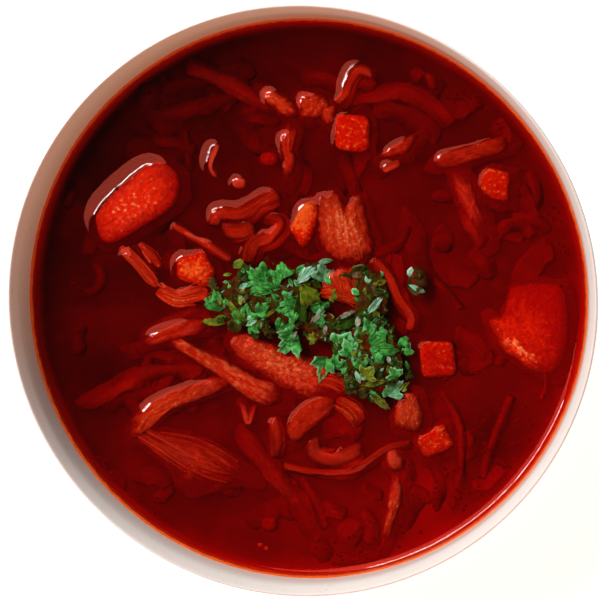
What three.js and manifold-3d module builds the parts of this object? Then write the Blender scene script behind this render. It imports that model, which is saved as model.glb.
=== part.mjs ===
// Borscht in a round glazed bowl: the bowl, the broth filled to its level, and
// every piece that breaks the surface of the broth, each one a closed solid.
// Millimetres, +Z up. The origin is the centre of the foot ring's underside.

import * as THREE from "three";
import { mergeVertices } from "three/addons/utils/BufferGeometryUtils.js";
import Module from "manifold-3d";

const wasm = await Module();
wasm.setup();

// Bowl
const RIM_RADIUS = 90;
const BOWL_HEIGHT = 60;
const LIP_RADIUS = 1.4;
const FLOOR_HEIGHT = 8;
const FLOOR_THICKNESS = 4.2;
const FOOT_RADIUS = 41;
const FOOT_WIDTH = 5;
const BELLY_ROUNDNESS = 3;
const WALL_ROUNDNESS = 2.3;
const FOOT_RECESS = 2.4;
const FOOT_EDGE = 1;
const TURNS = 48;
const WALL_STEPS = 7;
const LIP_STEPS = 4;

// Broth
const FREEBOARD = 12;
const BROTH_LEVEL = BOWL_HEIGHT - FREEBOARD;
const MENISCUS_RISE = 0.9;
const MENISCUS_WIDTH = 3;
const MENISCUS_KNEE = { width: 0.3, rise: 0.4 };

// Clearances between neighbouring solids
const GAP = 0.3;
const ROOM_GROWTH = 1.15 * GAP;
const WELD = 1e-4;

// Food
const CRUMB = { squareness: 2.4, relief: 0.14, cells: 2 };
const STRIP_RELIEF = 0.12;
const STRIP_RELIEF_SCALE = 0.12;
const STRAND_OVERHANG = 1.2;
const STRAND_FAN = 0.25;
const STRAND_LIFT = 0.5;

// Parsley
const LEAF_THICKNESS = 0.45;
const LEAF_LOBES = [-62, 0, 62];
const LEAF_BASE = { back: -0.12, halfWidth: 0.1 };
const SIDE_LOBE = 0.78;
const NOTCH = 0.46;
const LOBE_HALF_ANGLE = 11;
const LEAF_WAVE = 0.06;
const CORE_LIFT = 0.5;
const CORE_SQUARENESS = 2.3;
const CORE_RELIEF = 0.12;
const PATCH_FILL = 0.86;
const PATCH_FALL = 0.75;

const UP = new THREE.Vector3(0, 0, 1);

const COLOURS = {
  glaze: { color: 0xece6df, roughness: 0.18 },
  broth: { color: 0x6a0503, roughness: 0.08 },
  carrot: { color: 0xd8331a, roughness: 0.35 },
  potato: { color: 0xd14a22, roughness: 0.4 },
  beef: { color: 0xb5532c, roughness: 0.45 },
  cabbage: { color: 0xa3241a, roughness: 0.3 },
  onion: { color: 0xb84a3a, roughness: 0.25 },
  parsley: { color: 0x2f8a3c, roughness: 0.5 },
};

// ---------------------------------------------------------------- helpers

function seededRandom(seed) {
  let state = seed;
  return () => {
    state = (state * 1664525 + 1013904223) % 4294967296;
    return state / 4294967296;
  };
}

// A smooth bumpy field in [-1, 1] over space, different for each seed.
function bumps(seed) {
  const random = seededRandom(seed * 977 + 11);
  const waves = Array.from({ length: 4 }, () => ({
    direction: new THREE.Vector3(random() - 0.5, random() - 0.5, random() - 0.5).multiplyScalar(7),
    phase: random() * Math.PI * 2,
  }));
  return (point) => {
    const sum = waves.reduce((total, wave) => total + Math.sin(point.dot(wave.direction) + wave.phase), 0);
    return sum / waves.length;
  };
}

function welded(geometry) {
  const shell = geometry.clone();
  shell.deleteAttribute("normal");
  shell.deleteAttribute("uv");
  return mergeVertices(shell, WELD);
}

function moveVertices(geometry, move) {
  const position = geometry.getAttribute("position");
  const point = new THREE.Vector3();
  for (let i = 0; i < position.count; i += 1) {
    point.fromBufferAttribute(position, i);
    move(point, i);
    position.setXYZ(i, point.x, point.y, point.z);
  }
  return geometry;
}

// The same shape with its surface moved out by the gap.
function grown(geometry) {
  const shell = welded(geometry);
  shell.computeVertexNormals();
  const normals = shell.getAttribute("normal");
  const normal = new THREE.Vector3();
  return moveVertices(shell, (point, i) => {
    normal.fromBufferAttribute(normals, i);
    point.addScaledVector(normal, ROOM_GROWTH);
  });
}

function solidOf(geometry) {
  const shell = welded(geometry);
  return new wasm.Manifold(new wasm.Mesh({
    numProp: 3,
    vertProperties: new Float32Array(shell.getAttribute("position").array),
    triVerts: new Uint32Array(shell.index.array),
  }));
}

function fused(geometries) {
  return geometries.map(solidOf).reduce((whole, solid) => whole.add(solid));
}

function geometryOf(solid) {
  const mesh = solid.getMesh();
  const geometry = new THREE.BufferGeometry();
  geometry.setAttribute("position", new THREE.BufferAttribute(mesh.vertProperties, 3));
  geometry.setIndex(new THREE.BufferAttribute(mesh.triVerts, 1));
  geometry.computeVertexNormals();
  return geometry;
}

// The largest of a solid's separate bodies; a loose scrap is dropped.
function largestBody(solid) {
  return solid.decompose().reduce((best, body) => (body.volume() > best.volume() ? body : best));
}

function meshNamed(name, geometry, kind) {
  const { color, roughness } = COLOURS[kind];
  const mesh = new THREE.Mesh(geometry, new THREE.MeshStandardMaterial({ color, roughness, metalness: 0 }));
  mesh.name = name;
  return mesh;
}

function revolved(points) {
  return new THREE.LatheGeometry(points, TURNS).rotateX(Math.PI / 2);
}

// ---------------------------------------------------------------- bowl

// A quarter superellipse from the centre of the floor to the top of the wall.
function wallCurve(radius, top, floor, steps, fromAngle) {
  const points = [];
  for (let i = 0; i <= steps; i += 1) {
    const angle = THREE.MathUtils.lerp(fromAngle, Math.PI / 2, i / steps);
    const r = radius * Math.sin(angle) ** (2 / BELLY_ROUNDNESS);
    const z = top - (top - floor) * Math.cos(angle) ** (2 / WALL_ROUNDNESS);
    points.push(new THREE.Vector2(r, z));
  }
  return points;
}

const LIP_CENTRE_HEIGHT = BOWL_HEIGHT - LIP_RADIUS;
const INNER_RADIUS = RIM_RADIUS - 2 * LIP_RADIUS;

function innerCurve(steps) {
  return wallCurve(INNER_RADIUS, LIP_CENTRE_HEIGHT, FLOOR_HEIGHT, steps, 0);
}

function outerCurve(steps) {
  const startAngle = Math.asin((FOOT_RADIUS / RIM_RADIUS) ** (BELLY_ROUNDNESS / 2));
  return wallCurve(RIM_RADIUS, LIP_CENTRE_HEIGHT, FLOOR_HEIGHT - FLOOR_THICKNESS, steps, startAngle);
}

function lipCurve(steps) {
  const points = [];
  for (let i = 1; i < steps; i += 1) {
    const angle = (Math.PI * i) / steps;
    const r = RIM_RADIUS - LIP_RADIUS + LIP_RADIUS * Math.cos(angle);
    points.push(new THREE.Vector2(r, LIP_CENTRE_HEIGHT + LIP_RADIUS * Math.sin(angle)));
  }
  return points;
}

function bowl() {
  const footInside = FOOT_RADIUS - FOOT_WIDTH;
  const foot = [
    new THREE.Vector2(0, FOOT_RECESS),
    new THREE.Vector2(footInside - FOOT_EDGE, FOOT_RECESS),
    new THREE.Vector2(footInside, 0),
    new THREE.Vector2(FOOT_RADIUS - FOOT_EDGE, 0),
    new THREE.Vector2(FOOT_RADIUS, FOOT_EDGE),
  ];
  const profile = [
    ...foot,
    ...outerCurve(WALL_STEPS),
    ...lipCurve(LIP_STEPS),
    ...innerCurve(WALL_STEPS).reverse(),
  ];
  return meshNamed("bowl", revolved(profile), "glaze");
}

// ---------------------------------------------------------------- broth

function innerRadiusAt(height) {
  const depth = (LIP_CENTRE_HEIGHT - height) / (LIP_CENTRE_HEIGHT - FLOOR_HEIGHT);
  return INNER_RADIUS * (1 - depth ** WALL_ROUNDNESS) ** (1 / BELLY_ROUNDNESS);
}

// The broth fills the bowl up to its level, and climbs a little at the wall.
// Heights in the food are counted from that level.
function basin() {
  const wall = innerCurve(WALL_STEPS).map((p) => (
    new THREE.Vector2(Math.max(p.x - GAP, 0), p.y - BROTH_LEVEL + GAP)
  ));
  const wet = wall.filter((p) => p.y < -MENISCUS_RISE);
  const edge = innerRadiusAt(BROTH_LEVEL) - 2 * GAP;
  const top = [
    new THREE.Vector2(edge, MENISCUS_RISE),
    new THREE.Vector2(edge - MENISCUS_WIDTH * MENISCUS_KNEE.width, MENISCUS_RISE * MENISCUS_KNEE.rise),
    new THREE.Vector2(edge - MENISCUS_WIDTH, 0),
    new THREE.Vector2(0, 0),
  ];
  return revolved([...wet, ...top]);
}

// ---------------------------------------------------------------- food shapes

// A lump of food: a block whose sides are pulled towards a ball, then made uneven.
function lump({ at, size, proud, turn = 0, tilt = 0, squareness = 3, relief = 0.05, cells = 3, seed = 1 }) {
  const uneven = bumps(seed);
  const block = new THREE.BoxGeometry(2, 2, 2, cells, cells, cells);
  moveVertices(block, (point) => {
    const reach = Math.abs(point.x) ** squareness + Math.abs(point.y) ** squareness
      + Math.abs(point.z) ** squareness;
    point.multiplyScalar(reach ** (-1 / squareness));
    point.multiplyScalar(1 + relief * uneven(point));
    point.multiply(new THREE.Vector3(size[0] / 2, size[1] / 2, size[2] / 2));
  });
  block.rotateY(THREE.MathUtils.degToRad(tilt));
  block.rotateZ(THREE.MathUtils.degToRad(turn));
  block.computeBoundingBox();
  return block.translate(at[0], at[1], proud - block.boundingBox.max.z);
}

// A strip laid along a path: blunt ends, oval section, slightly uneven width.
// A square section has its flats where the oval's widest points are.
function strip({
  path, width, height, ends = 0.5, square = false, sides = 6, steps = 5, relief = STRIP_RELIEF, seed = 1,
}) {
  const uneven = bumps(seed);
  const curve = new THREE.CatmullRomCurve3(path.map((p) => new THREE.Vector3(...p)));
  const reach = square ? Math.SQRT2 : 1;
  const corners = square ? 4 : sides;
  const start = square ? Math.PI / 4 : 0;
  const rod = new THREE.CylinderGeometry(reach, reach, 1, corners, steps, false, start);
  return moveVertices(rod, (point) => {
    const along = THREE.MathUtils.clamp(point.y + 0.5, 0, 1);
    const tangent = curve.getTangentAt(along);
    const side = tangent.clone().cross(UP).normalize();
    const lift = side.clone().cross(tangent);
    const centre = curve.getPointAt(along);
    const swell = ends + (1 - ends) * Math.sqrt(Math.max(Math.sin(Math.PI * along), 0));
    const unevenness = 1 + relief * uneven(centre.clone().multiplyScalar(STRIP_RELIEF_SCALE));
    const across = point.x * (width / 2) * swell * unevenness;
    const upward = point.z * (height / 2) * swell;
    point.copy(centre).addScaledVector(side, across).addScaledVector(lift, upward);
  });
}

// Parallel strands beside each other, as cooked meat pulls apart.
function strands({ path, count, spread, width, height, seed }) {
  const random = seededRandom(seed);
  return Array.from({ length: count }, (unused, i) => {
    const offset = (i - (count - 1) / 2) * spread;
    const [first, last] = [path[0], path[path.length - 1]];
    const run = Math.hypot(last[0] - first[0], last[1] - first[1]);
    const [sideX, sideY] = [-(last[1] - first[1]) / run, (last[0] - first[0]) / run];
    const moved = path.map(([x, y, z], k) => {
      const fan = offset * (1 - STRAND_FAN + (2 * STRAND_FAN * k) / (path.length - 1));
      return [x + sideX * fan, y + sideY * fan, z + (random() - 0.5) * STRAND_LIFT];
    });
    return strip({ path: moved, width, height, ends: 0.55, sides: 5, steps: 4, seed: seed + i });
  });
}

// The path with both ends moved outward along it.
function lengthened(path, extra) {
  const beyond = (end, before) => {
    const run = Math.hypot(end[0] - before[0], end[1] - before[1]);
    return end.map((value, k) => value + ((value - before[k]) * extra) / run);
  };
  const last = path.length - 1;
  return [beyond(path[0], path[1]), ...path.slice(1, last), beyond(path[last], path[last - 1])];
}

// One flat strip as wide and as long as all the strands together.
function strandsRoom({ path, count, spread, width, height }) {
  const whole = width * (1 + STRIP_RELIEF) + (count - 1) * spread * (1 + STRAND_FAN);
  return strip({
    path: lengthened(path, STRAND_OVERHANG),
    width: whole,
    height: height + 2 * GAP,
    ends: 0.95,
    square: true,
    relief: 0,
  });
}

function stripPiece(name, kind, shape) {
  return { name, kind, parts: [strip(shape)], rooms: [strip({ ...shape, square: true })] };
}

function shredded(name, arms) {
  return { name, kind: "beef", parts: arms.flatMap(strands), rooms: arms.map(strandsRoom) };
}

// ---------------------------------------------------------------- food pieces

function carrots() {
  const dice = [
    ["carrot_top", { at: [15.9, 51.5], size: [11.4, 11.8, 10], proud: 2.5, turn: -3, squareness: 6 }],
    ["carrot_centre", { at: [1.2, 23.4], size: [8.6, 14, 9], proud: 2.9, turn: -14, squareness: 2.6 }],
    ["carrot_left", { at: [-33.8, 10.3], size: [12.6, 9.8, 8], proud: 2.4, turn: -14, squareness: 3 }],
    ["carrot_right_upper", { at: [57.7, 36], size: [12, 9.6, 8], proud: 1.9, turn: -6, squareness: 4.5 }],
    ["carrot_right_middle", { at: [41.9, -17.8], size: [11.2, 11.4, 9], proud: 2.5, turn: 4, squareness: 6 }],
    ["carrot_right_lower", {
      at: [41.2, -43.6], size: [11.4, 8.4, 8], proud: 1.9, turn: 10, squareness: 3.4,
    }],
  ];
  return dice.map(([name, shape], i) => ({
    name,
    kind: "carrot",
    parts: [lump({ ...shape, cells: 2, seed: 20 + i })],
  }));
}

function potatoes() {
  const leftBlock = lump({
    at: [-51, 28.7], size: [28.6, 14.4, 13], proud: 4.2, turn: 36, squareness: 3.6, seed: 3,
  });
  const rightBlock = lump({
    at: [70.6, -5.2], size: [22.4, 22.6, 9], proud: 0.3, turn: -8, tilt: 4, squareness: 4.4, seed: 5,
  });
  const rightTips = [
    strip({
      path: [[57.3, -6.9, 0.2], [62.7, -8.3, -0.6], [68.5, -11.2, -1.6]], width: 4.6, height: 2.6, seed: 8,
    }),
    strip({
      path: [[61.7, -10.8, 0.1], [67.6, -14.5, -0.6], [76.3, -18.4, -2]], width: 5, height: 2.8, seed: 9,
    }),
  ];
  return [
    { name: "potato_left", kind: "potato", parts: [leftBlock] },
    { name: "potato_right", kind: "potato", parts: [rightBlock, ...rightTips] },
  ];
}

function beefLumps() {
  const lumps = [
    ["beef_centre", [
      { at: [14.3, 22.7], size: [15.4, 21, 10], proud: 4, turn: 6, squareness: 3, relief: 0.08 },
    ]],
    ["beef_middle", [
      { at: [12.6, 4.9], size: [11, 12.4, 7], proud: 2.2, turn: 24, squareness: 2.6, relief: 0.1, cells: 2 },
    ]],
    ["beef_mound", [
      { at: [-12, -17], size: [23, 11, 9], proud: 2.8, turn: -24, squareness: 2.6, relief: 0.1 },
      { at: [1, -18.3], size: [13, 12, 8], proud: 3.1, turn: 12, squareness: 2.6, relief: 0.1, cells: 2 },
    ]],
    ["beef_small", [
      { at: [32.7, -35.5], size: [7.6, 12.4, 8], proud: 2.2, turn: 12, squareness: 2.8, relief: 0.1 },
    ]],
    ["beef_crumb", [
      { at: [3.8, 60.5], size: [9.4, 6.6, 6], proud: 1.5, turn: -18, ...CRUMB },
      { at: [6.3, 56.4], size: [5, 7.6, 5], proud: 1.7, turn: -12, ...CRUMB },
    ]],
  ];
  return lumps.map(([name, shapes], i) => ({
    name,
    kind: "beef",
    parts: shapes.map((shape, k) => lump({ ...shape, seed: 40 + 3 * i + k })),
  }));
}

function beefShreds() {
  const fork = [
    {
      path: [[-52.6, -41.3, 0.2], [-47.8, -35.9, 0.5], [-40.1, -31.2, 0.6], [-32.3, -26.4, 0.3]],
      count: 2, spread: 2.8, width: 3.6, height: 2.8, seed: 61,
    },
    {
      path: [[-52, -41.5, 0.1], [-43.4, -46.9, 0.1], [-32.7, -53, -0.6], [-22.6, -58.3, -1.8]],
      count: 2, spread: 3, width: 3.8, height: 2.6, seed: 65,
    },
    {
      path: [[-49.5, -42.3, -0.2], [-36.2, -44.7, -0.5], [-25.1, -49.8, -0.7], [-17, -56.6, -1.4]],
      count: 2, spread: 2, width: 2.8, height: 2.4, seed: 71,
    },
    {
      path: [[-48.5, -44.7, -0.4], [-42.5, -51.7, -0.6], [-37.8, -59.4, -1.3]],
      count: 1, spread: 0, width: 2.6, height: 2.2, seed: 75,
    },
  ];
  const crook = [
    {
      path: [[-57, 16.5, -0.2], [-50.8, 10.5, 0], [-45, 3.9, -0.1]],
      count: 2, spread: 1.6, width: 2.2, height: 2.2, seed: 81,
    },
    {
      path: [[-45.2, 3.3, -0.2], [-39.2, 0.5, 0], [-33, 1.8, 0], [-29.2, 2.4, -0.4]],
      count: 2, spread: 2.8, width: 3.6, height: 2.6, seed: 85,
    },
  ];
  const flake = [{
    path: [[-12.1, 63.5, 0], [-7, 60.8, 0.1], [-2.6, 57.8, -0.4]],
    count: 2, spread: 2.2, width: 3, height: 2, seed: 91,
  }];
  const fibre = [{
    path: [[-50.9, 17.5, -0.5], [-47.3, 13.9, -0.3], [-44.5, 9.9, -0.5]],
    count: 1, spread: 0, width: 3, height: 2.2, seed: 93,
  }];
  return [
    shredded("beef_fork", fork),
    shredded("beef_crook", crook),
    shredded("beef_flake", flake),
    shredded("beef_fibre", fibre),
  ];
}

function cabbageStrips() {
  const strips = [
    ["cabbage_flat", {
      path: [[-41.5, -12.8, -0.2], [-30.8, -18.3, 0.3], [-19.7, -24.4, 0.2], [-9.1, -30.3, -0.4]],
      width: 7,
      height: 2.6,
    }],
    ["cabbage_left", {
      path: [[-49.1, -11.6, -0.9], [-40.9, -8.5, -0.2], [-32.7, -6.1, -0.5]], width: 5.6, height: 2.4,
    }],
    ["cabbage_wavy", {
      path: [
        [-27.7, 23.1, -0.5], [-25.7, 26.7, -0.1], [-19, 27.1, -0.2], [-12.8, 30.5, 0.2], [-7.4, 33.3, -0.2],
      ],
      width: 4,
      height: 2.4,
      steps: 8,
    }],
    ["cabbage_wedge", {
      path: [[-24.9, 22.4, -0.4], [-19.3, 21.6, -0.1], [-14.7, 22.8, -0.4]], width: 4, height: 2.4,
    }],
    ["cabbage_curl", {
      path: [
        [-11.7, 25.2, -0.5], [-6.7, 24.2, -0.2], [-9.3, 19.8, 0], [-14.9, 17.6, 0.1], [-17, 11.4, -0.1],
      ],
      width: 4,
      height: 2.4,
      steps: 8,
    }],
    ["cabbage_thread", {
      path: [[-40.4, 23.3, -0.4], [-33, 18.8, -0.2], [-26.8, 15.6, -0.1], [-22, 12.2, -0.4]],
      width: 2.2,
      height: 1.8,
    }],
    ["cabbage_rim", {
      path: [[21.9, 12.8, -0.3], [27, 7.3, 0], [30.1, 0.8, 0], [33.7, -4.7, 0], [33.1, -9.1, -0.4]],
      width: 2.4,
      height: 2,
      steps: 8,
    }],
    ["cabbage_upright", {
      path: [[-4.7, 52.5, 0.1], [-3.3, 46.6, -0.1], [-4, 37.8, -0.1]], width: 4.6, height: 2.6,
    }],
    ["cabbage_arch", {
      path: [[10.8, 60.4, 0], [13.4, 63.3, -0.2], [15, 67.4, -0.2], [17.7, 70.3, -0.1], [22.2, 68.5, -0.3]],
      width: 2.6,
      height: 2,
      steps: 8,
    }],
    ["cabbage_corner", {
      path: [[25.1, 45.6, -0.3], [30.4, 47.5, 0.1], [35.9, 47.1, -0.3]], width: 6.2, height: 2.6,
    }],
    ["cabbage_thick", {
      path: [[41.5, 42.2, 0], [50.8, 45.5, 0.2], [61.9, 48.3, -0.4]], width: 6, height: 3,
    }],
    ["cabbage_pale", {
      path: [[47.2, 38.9, -0.3], [48.3, 32.3, -0.4], [50.9, 25, -0.5], [56, 18.2, -0.9]],
      width: 6,
      height: 2.2,
    }],
    ["cabbage_fold", {
      path: [[-3.8, -43.4, 0.1], [-0.9, -37.7, 0.4], [4.6, -32.4, 0.4], [10.8, -29.9, -0.2]],
      width: 6,
      height: 3,
    }],
    ["cabbage_loop", {
      path: [[3.3, -42.9, 0], [4.3, -47.9, -0.1], [11.3, -49, -0.3], [18.3, -46.1, -0.6]],
      width: 4.4,
      height: 2.6,
    }],
    ["cabbage_thread_low", {
      path: [
        [-6.2, -51.7, -0.3], [4.2, -53.6, -1], [15.3, -52.8, -0.6], [25.3, -46.1, -0.3], [33.6, -43.6, -0.4],
      ],
      width: 2,
      height: 1.7,
      steps: 8,
    }],
    ["cabbage_short", {
      path: [[-9.7, -36.6, -0.4], [-8.4, -41, 0], [-9, -49.1, -0.6]], width: 3.2, height: 2,
    }],
    ["cabbage_pale_low", {
      path: [[28.8, -58, -0.8], [27.6, -64, -0.2], [24, -73.8, -0.9]], width: 6.4, height: 2,
    }],
  ];
  return strips.map(([name, shape], i) => stripPiece(name, "cabbage", { ...shape, seed: 100 + i }));
}

function onionBits() {
  const petals = [
    ["onion_drop", { path: [[-26.9, 47.5, -0.6], [-28.1, 42.8, -0.1], [-29, 38.4, -0.6]], width: 3.2 }],
    ["onion_sliver", { path: [[24.9, 39.9, -0.5], [27.4, 41.3, -0.1], [30.4, 42.4, -0.5]], width: 2.4 }],
    ["onion_hook", {
      path: [[-19.4, -32.1, -0.5], [-17.6, -37.7, -0.1], [-16.8, -37.7, -0.1], [-15, -32.6, -0.5]], width: 2,
    }],
  ];
  const bits = [
    ["onion_bit", { at: [-19.2, 36.1], size: [4, 3, 2.6], proud: 0.9 }],
    ["onion_pale", { at: [29.3, -50.8], size: [5, 5.8, 3.4], proud: 1, turn: 30 }],
  ];
  return [
    ...petals.map(([name, shape], i) => (
      stripPiece(name, "onion", { ...shape, height: 1.8, ends: 0.3, seed: 130 + i })
    )),
    ...bits.map(([name, shape], i) => ({
      name,
      kind: "onion",
      parts: [lump({ ...shape, squareness: 2.5, cells: 2, seed: 140 + i })],
    })),
  ];
}

// ---------------------------------------------------------------- parsley

// The outline of a leaflet with three blunt lobes and a narrow base.
function leafOutline(size) {
  const { back, halfWidth } = LEAF_BASE;
  const points = [new THREE.Vector2(back, -halfWidth).multiplyScalar(size)];
  LEAF_LOBES.forEach((degrees, i) => {
    const reach = size * (degrees === 0 ? 1 : SIDE_LOBE);
    if (i > 0) {
      const notch = THREE.MathUtils.degToRad((LEAF_LOBES[i - 1] + degrees) / 2);
      points.push(new THREE.Vector2(Math.cos(notch), Math.sin(notch)).multiplyScalar(size * NOTCH));
    }
    [-LOBE_HALF_ANGLE, LOBE_HALF_ANGLE].forEach((shoulder) => {
      const angle = THREE.MathUtils.degToRad(degrees + shoulder);
      points.push(new THREE.Vector2(Math.cos(angle), Math.sin(angle)).multiplyScalar(reach));
    });
  });
  points.push(new THREE.Vector2(back, halfWidth).multiplyScalar(size));
  return points;
}

function leaf({ at, size, turn, pitch, bend }) {
  const blade = new THREE.ExtrudeGeometry(new THREE.Shape(leafOutline(size)), {
    depth: LEAF_THICKNESS, bevelEnabled: false, curveSegments: 1,
  });
  moveVertices(blade, (point) => {
    const reach = Math.hypot(point.x, point.y) / size;
    point.z += bend * size * reach * reach + LEAF_WAVE * size * Math.sin((4 * point.y) / size);
  });
  blade.rotateY(THREE.MathUtils.degToRad(-pitch));
  blade.rotateZ(THREE.MathUtils.degToRad(turn));
  return blade.translate(...at);
}

// Leaves spread over an oval patch by a sunflower spiral, tipped up from its core.
function leavesOver({ centre, reach, turn, count, sizes, height, seed }) {
  const random = seededRandom(seed);
  const golden = Math.PI * (3 - Math.sqrt(5));
  const tilted = THREE.MathUtils.degToRad(turn);
  return Array.from({ length: count }, (unused, i) => {
    const radius = Math.sqrt((i + 0.5) / count) * PATCH_FILL;
    const angle = i * golden + random() * 0.5;
    const [u, v] = [radius * Math.cos(angle) * reach[0], radius * Math.sin(angle) * reach[1]];
    const x = centre[0] + u * Math.cos(tilted) - v * Math.sin(tilted);
    const y = centre[1] + u * Math.sin(tilted) + v * Math.cos(tilted);
    return leaf({
      at: [x, y, height * (1 - PATCH_FALL * radius * radius) + CORE_LIFT],
      size: THREE.MathUtils.lerp(sizes[0], sizes[1], random()),
      turn: THREE.MathUtils.radToDeg(angle) + turn + (random() - 0.5) * 120,
      pitch: 4 + random() * 16 * (1 - radius),
      bend: (random() - 0.6) * 0.2,
    });
  });
}

function parsley() {
  const heapCores = [
    { at: [-10.8, 0.4], size: [36, 20.6, 5.6], proud: 3, turn: 3, cells: 3, seed: 151 },
    { at: [3.6, -6.2], size: [26, 11, 5], proud: 2.6, turn: -32, cells: 2, seed: 152 },
    { at: [21.5, 1.9], size: [12, 18, 5], proud: 2.4, turn: -8, cells: 2, seed: 154 },
    { at: [21.4, -16.5], size: [20, 27, 5.6], proud: 3, turn: 14, cells: 3, seed: 153 },
  ];
  const heapPatches = [
    {
      centre: [-10.4, 0.8], reach: [21.6, 12.5], turn: 4, count: 14, sizes: [4.4, 7], height: 2.4, seed: 161,
    },
    { centre: [21.4, -16.5], reach: [13, 17], turn: 14, count: 11, sizes: [4.4, 7], height: 2.4, seed: 163 },
    { centre: [21.5, 3.4], reach: [5, 7], turn: 0, count: 3, sizes: [3.6, 5], height: 2, seed: 165 },
  ];
  const sprigCores = [
    { at: [35.7, 7.2], size: [6.4, 8, 2.6], proud: 1.6, turn: 20, cells: 2, seed: 171 },
  ];
  const sprigPatches = [
    { centre: [35.5, 7.4], reach: [3.6, 4.6], turn: 20, count: 3, sizes: [3.4, 4.8], height: 1.2, seed: 173 },
  ];
  const herbs = (cores, patches) => [
    ...cores.map((core) => lump({ ...core, squareness: CORE_SQUARENESS, relief: CORE_RELIEF })),
    ...patches.flatMap(leavesOver),
  ];
  return [
    { name: "parsley_heap", kind: "parsley", parts: herbs(heapCores, heapPatches) },
    { name: "parsley_sprig", kind: "parsley", parts: herbs(sprigCores, sprigPatches) },
  ];
}

// ---------------------------------------------------------------- assembly

function boxesMeet(a, b) {
  const [p, q] = [a.boundingBox(), b.boundingBox()];
  return [0, 1, 2].every((k) => p.min[k] <= q.max[k] && q.min[k] <= p.max[k]);
}

// Each piece keeps the gap to the pieces set before it.
function settle(pieces) {
  const placed = [];
  pieces.forEach(({ name, kind, parts, rooms = parts }) => {
    let solid = fused(parts);
    placed.filter((other) => boxesMeet(other.room, solid)).forEach((other) => {
      solid = solid.subtract(other.room);
    });
    placed.push({ name, kind, solid: largestBody(solid), room: fused(rooms.map(grown)) });
  });
  return placed;
}

function contents() {
  const inBroth = settle([
    ...carrots(),
    ...potatoes(),
    ...beefLumps(),
    ...beefShreds(),
    ...cabbageStrips(),
    ...onionBits(),
  ]);
  const pool = solidOf(basin());
  const broth = inBroth.reduce((rest, piece) => rest.subtract(piece.room), pool);
  const raisedPool = solidOf(basin().translate(0, 0, GAP));
  const onTop = settle(parsley()).map((piece) => {
    const clear = inBroth.filter((other) => boxesMeet(other.room, piece.solid))
      .reduce((rest, other) => rest.subtract(other.room), piece.solid.subtract(raisedPool));
    return { ...piece, solid: largestBody(clear) };
  });
  const group = new THREE.Group();
  group.position.z = BROTH_LEVEL;
  group.add(meshNamed("broth", geometryOf(largestBody(broth)), "broth"));
  [...inBroth, ...onTop].forEach(({ name, kind, solid }) => {
    group.add(meshNamed(name, geometryOf(solid), kind));
  });
  return group;
}

const borscht = new THREE.Group();
borscht.add(bowl(), contents());

export default borscht;
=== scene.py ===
import itertools
import math

import bpy
import numpy as np
from mathutils import Matrix, Vector
from mathutils.bvhtree import BVHTree

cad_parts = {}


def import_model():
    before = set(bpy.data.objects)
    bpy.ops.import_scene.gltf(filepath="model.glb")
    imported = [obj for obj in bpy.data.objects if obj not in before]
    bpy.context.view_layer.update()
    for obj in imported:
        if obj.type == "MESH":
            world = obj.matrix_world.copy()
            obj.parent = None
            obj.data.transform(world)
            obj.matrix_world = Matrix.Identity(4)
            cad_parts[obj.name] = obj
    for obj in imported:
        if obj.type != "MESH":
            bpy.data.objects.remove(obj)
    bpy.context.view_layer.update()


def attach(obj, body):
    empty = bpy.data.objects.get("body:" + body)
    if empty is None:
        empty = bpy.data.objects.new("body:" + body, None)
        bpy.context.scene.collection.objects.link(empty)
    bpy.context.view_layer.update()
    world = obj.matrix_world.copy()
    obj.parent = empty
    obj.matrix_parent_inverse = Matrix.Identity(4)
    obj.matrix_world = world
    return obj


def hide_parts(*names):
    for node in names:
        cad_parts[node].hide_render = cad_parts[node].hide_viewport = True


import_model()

# Borscht in its bowl. Lengths are millimetres until a mesh is made; heights of food are counted from the
# level of the broth. A shape is its points, its quads and two tones for each point: light and dark along the
# grain, with painted light and shade on drawn pieces, and the veil, where it melts into the broth.
MM = 0.001
# The bowl, as the solids have it.
RIM_RADIUS, LIP_RADIUS, BOWL_HEIGHT = 90.0, 1.4, 60.0
FLOOR_HEIGHT, FLOOR_THICKNESS = 8.0, 4.2
FOOT_RADIUS, FOOT_WIDTH, FOOT_RECESS = 41.0, 5.0, 2.4
BELLY_ROUNDNESS, WALL_ROUNDNESS = 3.0, 2.3
LIP_CENTRE = BOWL_HEIGHT - LIP_RADIUS
INNER_RADIUS = RIM_RADIUS - 2 * LIP_RADIUS
# Its inside round the waterline, below the lip: the middle of the change, how far it is moved and narrowed.
WATERLINE, OFF_CENTRE, NARROWED, LIP_INSIDE = 48.0, np.array([0.84, -0.3]), 0.35, 88.4
# The broth: its level, how far one sees into it, and where the clear layer ends, in the murk.
LEVEL, MURK_DEPTH, CLEAR_DEPTH = 47.5, 4.6, 5.6
# Its skin lies as a film over food between WETTED and TALL, and rises at taller food and at the wall; WAVE is
# the reach of such a rise.
WETTED, TALL, FILM, CLIMB, WALL_CLIMB, WAVE = -0.9, 0.3, 0.1, 0.76, 1.6, 2.0
# The skin's cells, and how wide and how round it is.
GRID, SKIN_WIDTH, SKIN_RADIUS, SETTLING_ROUNDS = 0.57, 174.4, 86.95, 240
# Broth that is open enough for droplets and drifting shreds.
OPEN_RADIUS, DRIFT_RADIUS = 83, 80
# Food fades into the broth by exp(-depth / FADE).
FADE = 1.5
# The height of food where there is none, and the height over the broth from which it is looked for.
NOWHERE, LOOKOUT = -20.0, 20.0


# ---------------------------------------------------------------- numbers and shapes

def seeded(seed):
    """The same random numbers as the solids use."""
    state = [seed]

    def step():
        state[0] = (state[0] * 1664525 + 1013904223) % 4294967296
        return state[0] / 4294967296

    return step


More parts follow.
